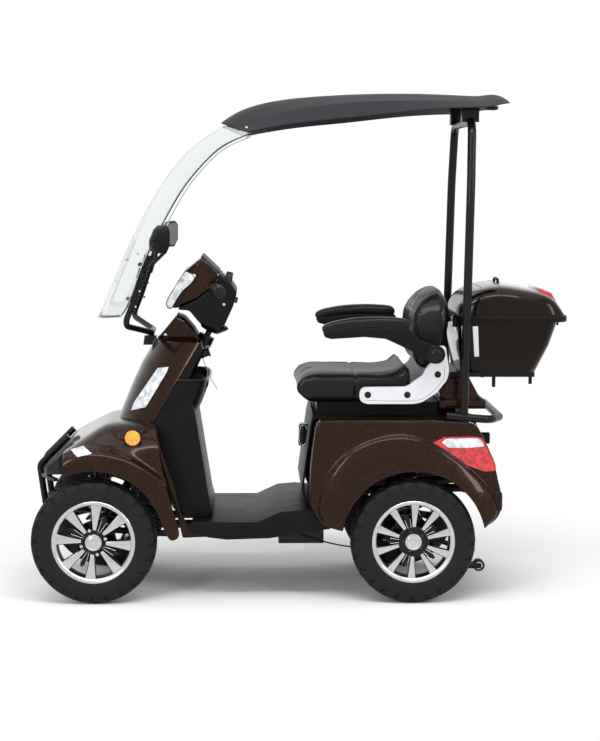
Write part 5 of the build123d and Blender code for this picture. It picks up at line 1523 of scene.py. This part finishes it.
@dataclass
class Mirrors:
    """The two mirrors: tapered housings behind flat tinted glasses."""

    turn: float = 33.0
    rows: Sequence[tuple[float, float, float, float]] = (
        (-17.0, 49.0, -44.0, 42.0), (-9.0, 52.0, -47.0, 45.0), (8.0, 42.0, -40.0, 32.0),
        (18.0, 20.0, -28.0, 6.0),
    )

    def ring(self, back: float, half: float, low: float, high: float) -> list[Point]:
        """Gives one section: an upright shield with its inner top corner cut well back.

        Args:
            back: Its place along the mirror's own axis.
            half: Its half width.
            low: Its lowest point.
            high: Its highest point.

        Returns:
            The section's eight corners.
        """
        return [(back, y, z) for y, z in (
            (-half, low + 14), (-half + 10, low + 2), (half - 22, low), (half, low + 26), (half, high - 12),
            (half - 12, high), (-half * 0.28, high), (-half, high - (high - low) * 0.5))]

    def build(self) -> None:
        """Lofts each housing from its glass rim to its small front, and its tinted glass."""
        for side in Side:
            s, word = side.value, side.name.lower()
            centre = Vector((FRONT_X - 212.0, s * 301.0, 1186.0))
            spin = Matrix.Rotation(math.radians(self.turn * s), 3, "Z")

            def set_up(spot: Vector) -> Vector:
                """Turns a point of the mirror and moves it to its stalk."""
                return centre + spin @ Vector((spot.x, spot.y * s, spot.z))

            shell = Shape().loft([self.ring(*row) for row in self.rows], ring=True, capped=True).drape(set_up)
            bmesh.ops.recalc_face_normals(shell.bm, faces=shell.bm.faces)
            shell.soften(4.0, 3, low=20.0)
            shell.piece(f"mirror_shell_{word}", "chassis", "black_plastic", BLACK_ABS,
                        replaced=once(side, "mirror_housings"), smooth=50.0)
            glass = Shape().loft([self.ring(-18.2, 45.0, -39.0, 38.0), self.ring(-14.0, 46.0, -40.0, 39.0)],
                                 ring=True, capped=True).drape(set_up)
            bmesh.ops.recalc_face_normals(glass.bm, faces=glass.bm.faces)
            glass.piece(f"mirror_face_{word}", "chassis", "mirror_silver", MIRROR,
                        replaced=once(side, "mirror_glasses"), smooth=30.0)


@dataclass
class RearTrim:
    """What shows on the rear body: tail lamps, corner reflectors, seat brackets, lugs and the socket box."""

    lamp: Sequence[Flat] = (
        (-53, 528), (-97, 549), (-160, 551), (-212, 551), (-228, 538), (-246, 498), (-264, 460), (-266, 438),
        (-234, 433), (-180, 452), (-135, 470), (-90, 502),
    )
    window: Sequence[Flat] = (
        (-88, 531), (-104, 543), (-206, 545), (-220, 535), (-228, 518), (-170, 513), (-112, 514),
    )
    bracket: Sequence[Flat] = (
        (177, 688), (168, 706), (24, 708), (-26, 738), (-44, 775), (-62, 790), (-66, 842), (-104, 842),
        (-110, 797), (-116, 763), (-110, 731), (-76, 688), (-27, 656), (-1, 651), (155, 651), (175, 662),
    )

    def lamp_side(self, side: Side) -> None:
        """Builds one tail lamp with its clear window and dark rim, and the reflector below it.

        Args:
            side: The side that it sits on.
        """
        s, word = side.value, side.name.lower()
        red = Shape().plate(rear(self.lamp), s * 226.0, s * 303.5, corner=5.0).soften(4.0, 4, low=50.0)
        red.piece(f"tail_lamp_{word}", "chassis", "lamp_red", RED_LAMP, replaced=once(side, "tail_lamps"))
        clear = Shape().plate(rear(self.window), s * 300.0, s * 305.0, corner=4.0).soften(1.6, 3, low=50.0)
        clear.piece(f"tail_lamp_window_{word}", "chassis", "lamp_clear", CLEAR_LAMP)
        rim = Shape().wire([(REAR_X + x, s * 301.5, z) for x, z in self.lamp], 2.0, closed=True)
        rim.piece(f"tail_lamp_rim_{word}", "chassis", "black_plastic", SMOOTH_ABS)
        holder = rear(((-258, 304), (-289, 304), (-289, 368), (-264, 368)))
        low = Shape().plate(holder, s * 262.0, s * 303.0, corner=6.0).soften(2.0, 3, low=50.0)
        low.piece(f"corner_reflector_{word}", "chassis", "black_plastic", SMOOTH_ABS)
        bead = Shape().plate(rear(((-286, 312), (-291, 312), (-291, 360), (-286, 360))), s * 268.0, s * 299.0)
        bead.soften(1.5, 3, low=50.0)
        bead.piece(f"corner_reflector_face_{word}", "chassis", "lamp_red", RED_LAMP)

    def bracket_side(self, side: Side) -> None:
        """Builds one bracket with rounded corners and its pivot pin.

        Args:
            side: The side that it sits on.
        """
        s = side.value
        shape = Shape().plate(rear(self.bracket), s * 240.0, s * 256.0, corner=14.0).soften(3.0, 4, low=50.0)
        shape.stud((ARM_PIVOT_X, s * 250.0, ARM_PIVOT_Z), (ARM_PIVOT_X, s * 306.0, ARM_PIVOT_Z), 8.0)
        shape.piece(f"seat_bracket_{side.name.lower()}", "chassis", "silver_paint", SILVER,
                    replaced=once(side, "seat_side_brackets"))

    def build(self) -> None:
        """Builds both sides, the lugs behind the backrest and the socket box on the seat base."""
        for side in Side:
            self.lamp_side(side)
            self.bracket_side(side)
        lug = Shape()
        for side in Side:
            lug.plate(rear(((-30, 852), (-36, 884), (-52, 896), (-74, 894), (-86, 876), (-84, 838),
                            (-44, 836))),
                      side.value * 244.0, side.value * 261.5, corner=7.0)
        lug.soften(4.0, 4, low=50.0)
        lug.piece("backrest_lugs", "chassis", "black_plastic", BLACK_ABS)
        box = Shape().plate(rear(((334, 474), (368, 478), (366, 552), (326, 553))), -24.0, 24.0, corner=8.0)
        box.soften(3.0, 4, low=50.0)
        box.piece("socket_box", "chassis", "black_plastic", SMOOTH_ABS)
        edge = Shape()
        for y in (-24.5, 24.5):
            corners = rear(((342, 478), (366, 481), (364, 549), (336, 550)))
            edge.wire([(x, y, z) for x, z in corners], 1.8, closed=True)
        edge.piece("socket_box_edge", "chassis", "silver_paint", CHROME)


@dataclass
class Lid:
    """The top box's lid: a domed brown shell with a black front and two lines, over a black rim band."""

    line: Sequence[Flat] = (
        (-155, 934), (-157, 950), (-163, 980), (-184, 1002), (-217, 1021), (-250, 1031), (-285, 1036),
        (-320, 1033), (-370, 1025), (-412, 1017), (-446, 1007), (-471, 993), (-490, 966), (-502, 946),
        (-506, 934),
    )
    floor: float = 932.0

    def row(self, x: float, top: float) -> list[Point]:
        """Gives one section across the dome from side to side."""
        rise = top - self.floor
        ends = 1.0 - 0.16 * max(0.0, abs(x + 330.0) / 176.0) ** 6
        half = [(1.0, 0.0), (0.985, 0.3), (0.955, 0.6), (0.91, 0.8), (0.83, 0.92), (0.66, 0.985), (0.35, 1.0),
                (0.0, 1.0)]
        side = [(218.0 * ends * y, self.floor + rise * share) for y, share in half]
        return [(REAR_X + x, y, z) for y, z in side] + [(REAR_X + x, -y, z) for y, z in reversed(side[:-1])]

    def build(self) -> None:
        """Builds the dome, the band and the two lines across the dome."""
        shape = Shape().loft([self.row(x, z) for x, z in self.line]).wall(3.0)
        made = shape.piece("box_lid_dome", "box_lid", "brown_gloss", DARK_BROWN, replaced=["box_lid"],
                           smooth=70.0,
                           accents=[(SMOOTH_ABS, lambda spot: spot.x > REAR_X - 232.0)])
        rounder(made)
        band = Shape().plate(rear(((-152, -222), (-512, -222), (-512, 222), (-152, 222))), 915.5, 936.0,
                             Axis.Z,
                             corner=48.0)
        band.soften(4.0, 3, low=50.0)
        band.piece("box_lid_band", "box_lid", "black_plastic", BLACK_ABS)
        lines = Shape()
        for x in (-233.0, -291.0):
            starts = [(REAR_X + x, y, 1100.0) for y in range(-204, 205, 12)]
            lines.wire(traced(made, starts, (0, 0, -1), 0.2), 1.5)
        lines.piece("box_lid_lines", "box_lid", "black_plastic", SMOOTH_ABS)


@dataclass
class Luggage:
    """What shows on the top box: the handle, the silver corner strips and the latch."""

    def build(self) -> None:
        """Adds the box's trim."""
        handle = Shape()
        path = [(REAR_X + x, y, z) for x, y, z in (
            (-300, 46, 1030), (-300, 46, 1043), (-300, 30, 1047),
            (-300, -30, 1047), (-300, -46, 1043), (-300, -46, 1030))]
        handle.wire(path, 5.0, steps=6)
        handle.piece("box_handle", "box_lid", "black_plastic", BLACK_ABS)
        strips = Shape()
        for side in Side:
            for corners in (((-168, 800), (-188, 800), (-176, 902), (-160, 902)),
                            ((-205, 800), (-221, 800), (-214, 902), (-196, 902))):
                strips.plate(rear(corners), side.value * 196.0, side.value * 215.5)
        strips.drape(lambda spot: Vector((spot.x, spot.y * (1.0 - (912 - spot.z) * 0.00078), spot.z)))
        bmesh.ops.recalc_face_normals(strips.bm, faces=strips.bm.faces)
        strips.soften(1.5, 3, low=40.0)
        strips.piece("box_strips", "chassis", "silver_paint", SILVER)
        latch = Shape().plate(rear(((-506, 890), (-506, 934), (-515, 934), (-512, 890))), -26.0, 26.0)
        latch.soften(1.5, 3, low=40.0)
        latch.piece("box_latch", "box_lid", "black_plastic", SMOOTH_ABS)


@dataclass
class Chassis:
    """What shows under the bodywork: coil springs, the brake cable and the rollers' rings."""

    cable: Sequence[Point] = (
        (380, 152.8, 203), (330, 152.8, 188), (280, 152.8, 172), (226, 152.8, 160), (170, 152.8, 153),
        (114, 157.8, 150), (66, 173.8, 150), (36, 200.8, 152), (26, 226.7, 156),
    )
    cable_length: float = 0.392

    def build_rings(self) -> None:
        """Sets the pale hub ring on each roller's outer face."""
        for side in Side:
            s, word = side.value, side.name.lower()
            wheel = bpy.data.objects[f"anti_tip_wheel_{word}"]
            face = max(s * vert.co.y / MM for vert in wheel.data.vertices)
            ring = Shape().lathe((
                (-0.6, 7.0), (0.8, 7.0), (1.3, 8.0), (1.3, 11.6), (0.8, 12.6), (-0.6, 12.6), (-0.6, 7.0)),
                (REAR_X - 238.0, s * face, 88.0), s, steps=32)
            ring.piece(f"roller_ring_{word}", f"anti_tip_{word}", "silver_paint", SILVER)

    def build_springs(self) -> None:
        """Winds a coil round each shock absorber's body."""
        coils = Shape()
        for x, low, high in ((FRONT_X, 250.0, 396.0), (REAR_X, 262.0, 436.0)):
            for side in Side:
                turns, each = 7, 8
                path = []
                for i in range(turns * each + 1):
                    a = i / each * math.tau
                    path.append((x + 27.0 * math.cos(a), side.value * 148.0 + 27.0 * math.sin(a),
                                 low + (high - low) * i / (turns * each)))
                coils.wire(path, 3.4, steps=3)
        coils.piece("shock_coils", "chassis", "black_steel", ZINC)

    def build_cable(self) -> None:
        """Lays the brake cable on one smooth line from the tray to the left drum."""
        line = bpy.data.curves.new("brake_cable_line", "CURVE")
        line.dimensions = "3D"
        line.bevel_depth = 2.5 * MM
        line.bevel_resolution = 4
        line.use_fill_caps = True
        spline = line.splines.new("NURBS")
        spline.points.add(len(self.cable) - 1)
        for spot, (x, y, z) in zip(spline.points, self.cable):
            spot.co = ((REAR_X + x) * MM, y * MM, z * MM, 1.0)
        spline.use_endpoint_u = True
        spline.order_u = 3
        made = bpy.data.objects.new("brake_cable_line", line)
        bpy.context.scene.collection.objects.link(made)
        line.materials.append(RUBBER.build())
        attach(made, "chassis")
        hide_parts("brake_cable")
        x, y, z = self.cable[0]

    def build(self) -> None:
        """Builds the parts under the body."""
        self.build_springs()
        self.build_cable()
        self.build_rings()


@dataclass
class CoverTrim:
    """Bolts on the roof and the screen, and the buffer under the roof's rear edge."""

    def build(self) -> None:
        """Sets the bolts and the buffer."""
        roof = bpy.data.objects["roof_panel"]
        bolts = Shape()
        for x, y in ((-442, 205.0), (-496, 225.0), (-484, 262.0)):
            for s in (-1.0, 1.0):
                for spot in traced(roof, [(FRONT_X + x, s * y, 1750.0)], (0, 0, -1), 0.0):
                    bolts.dome(spot, 6.5, 3.6, Vector((0, s * 0.5, 1)), 12)
        for x, z in ((-150, 1016), (-137, 966), (-110, 1120)):
            for s in (-1.0, 1.0):
                bolts.dome((FRONT_X + x, s * 240.0, z), 4.6, 3.4, Vector((0.2, s, 0.2)), 12)
        bolts.piece("cover_bolts", "chassis", "silver_paint", ZINC)
        buffer = Shape().plate(rear(((-262, 1612), (-262, 1622), (-296, 1624), (-294, 1612))), -30.0, 30.0)
        buffer.soften(2.0, 3, low=40.0)
        buffer.piece("roof_buffer", "chassis", "black_plastic", RUBBER)


def main() -> None:
    """Builds the studio and every sub-assembly in order."""
    logging.basicConfig(level=logging.INFO, format="%(message)s")
    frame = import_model()
    Studio().build()
    CarriedOver().build(frame)
    Wheels().build()
    Hood().build()
    RearSides().build()
    Roof().build()
    Screen().build()
    FrontTrim().build()
    SteeringHead().build()
    Mirrors().build()
    Seat().build()
    RearTrim().build()
    Lid().build()
    Luggage().build()
    Chassis().build()
    CoverTrim().build()


if __name__ == "__main__":
    main()
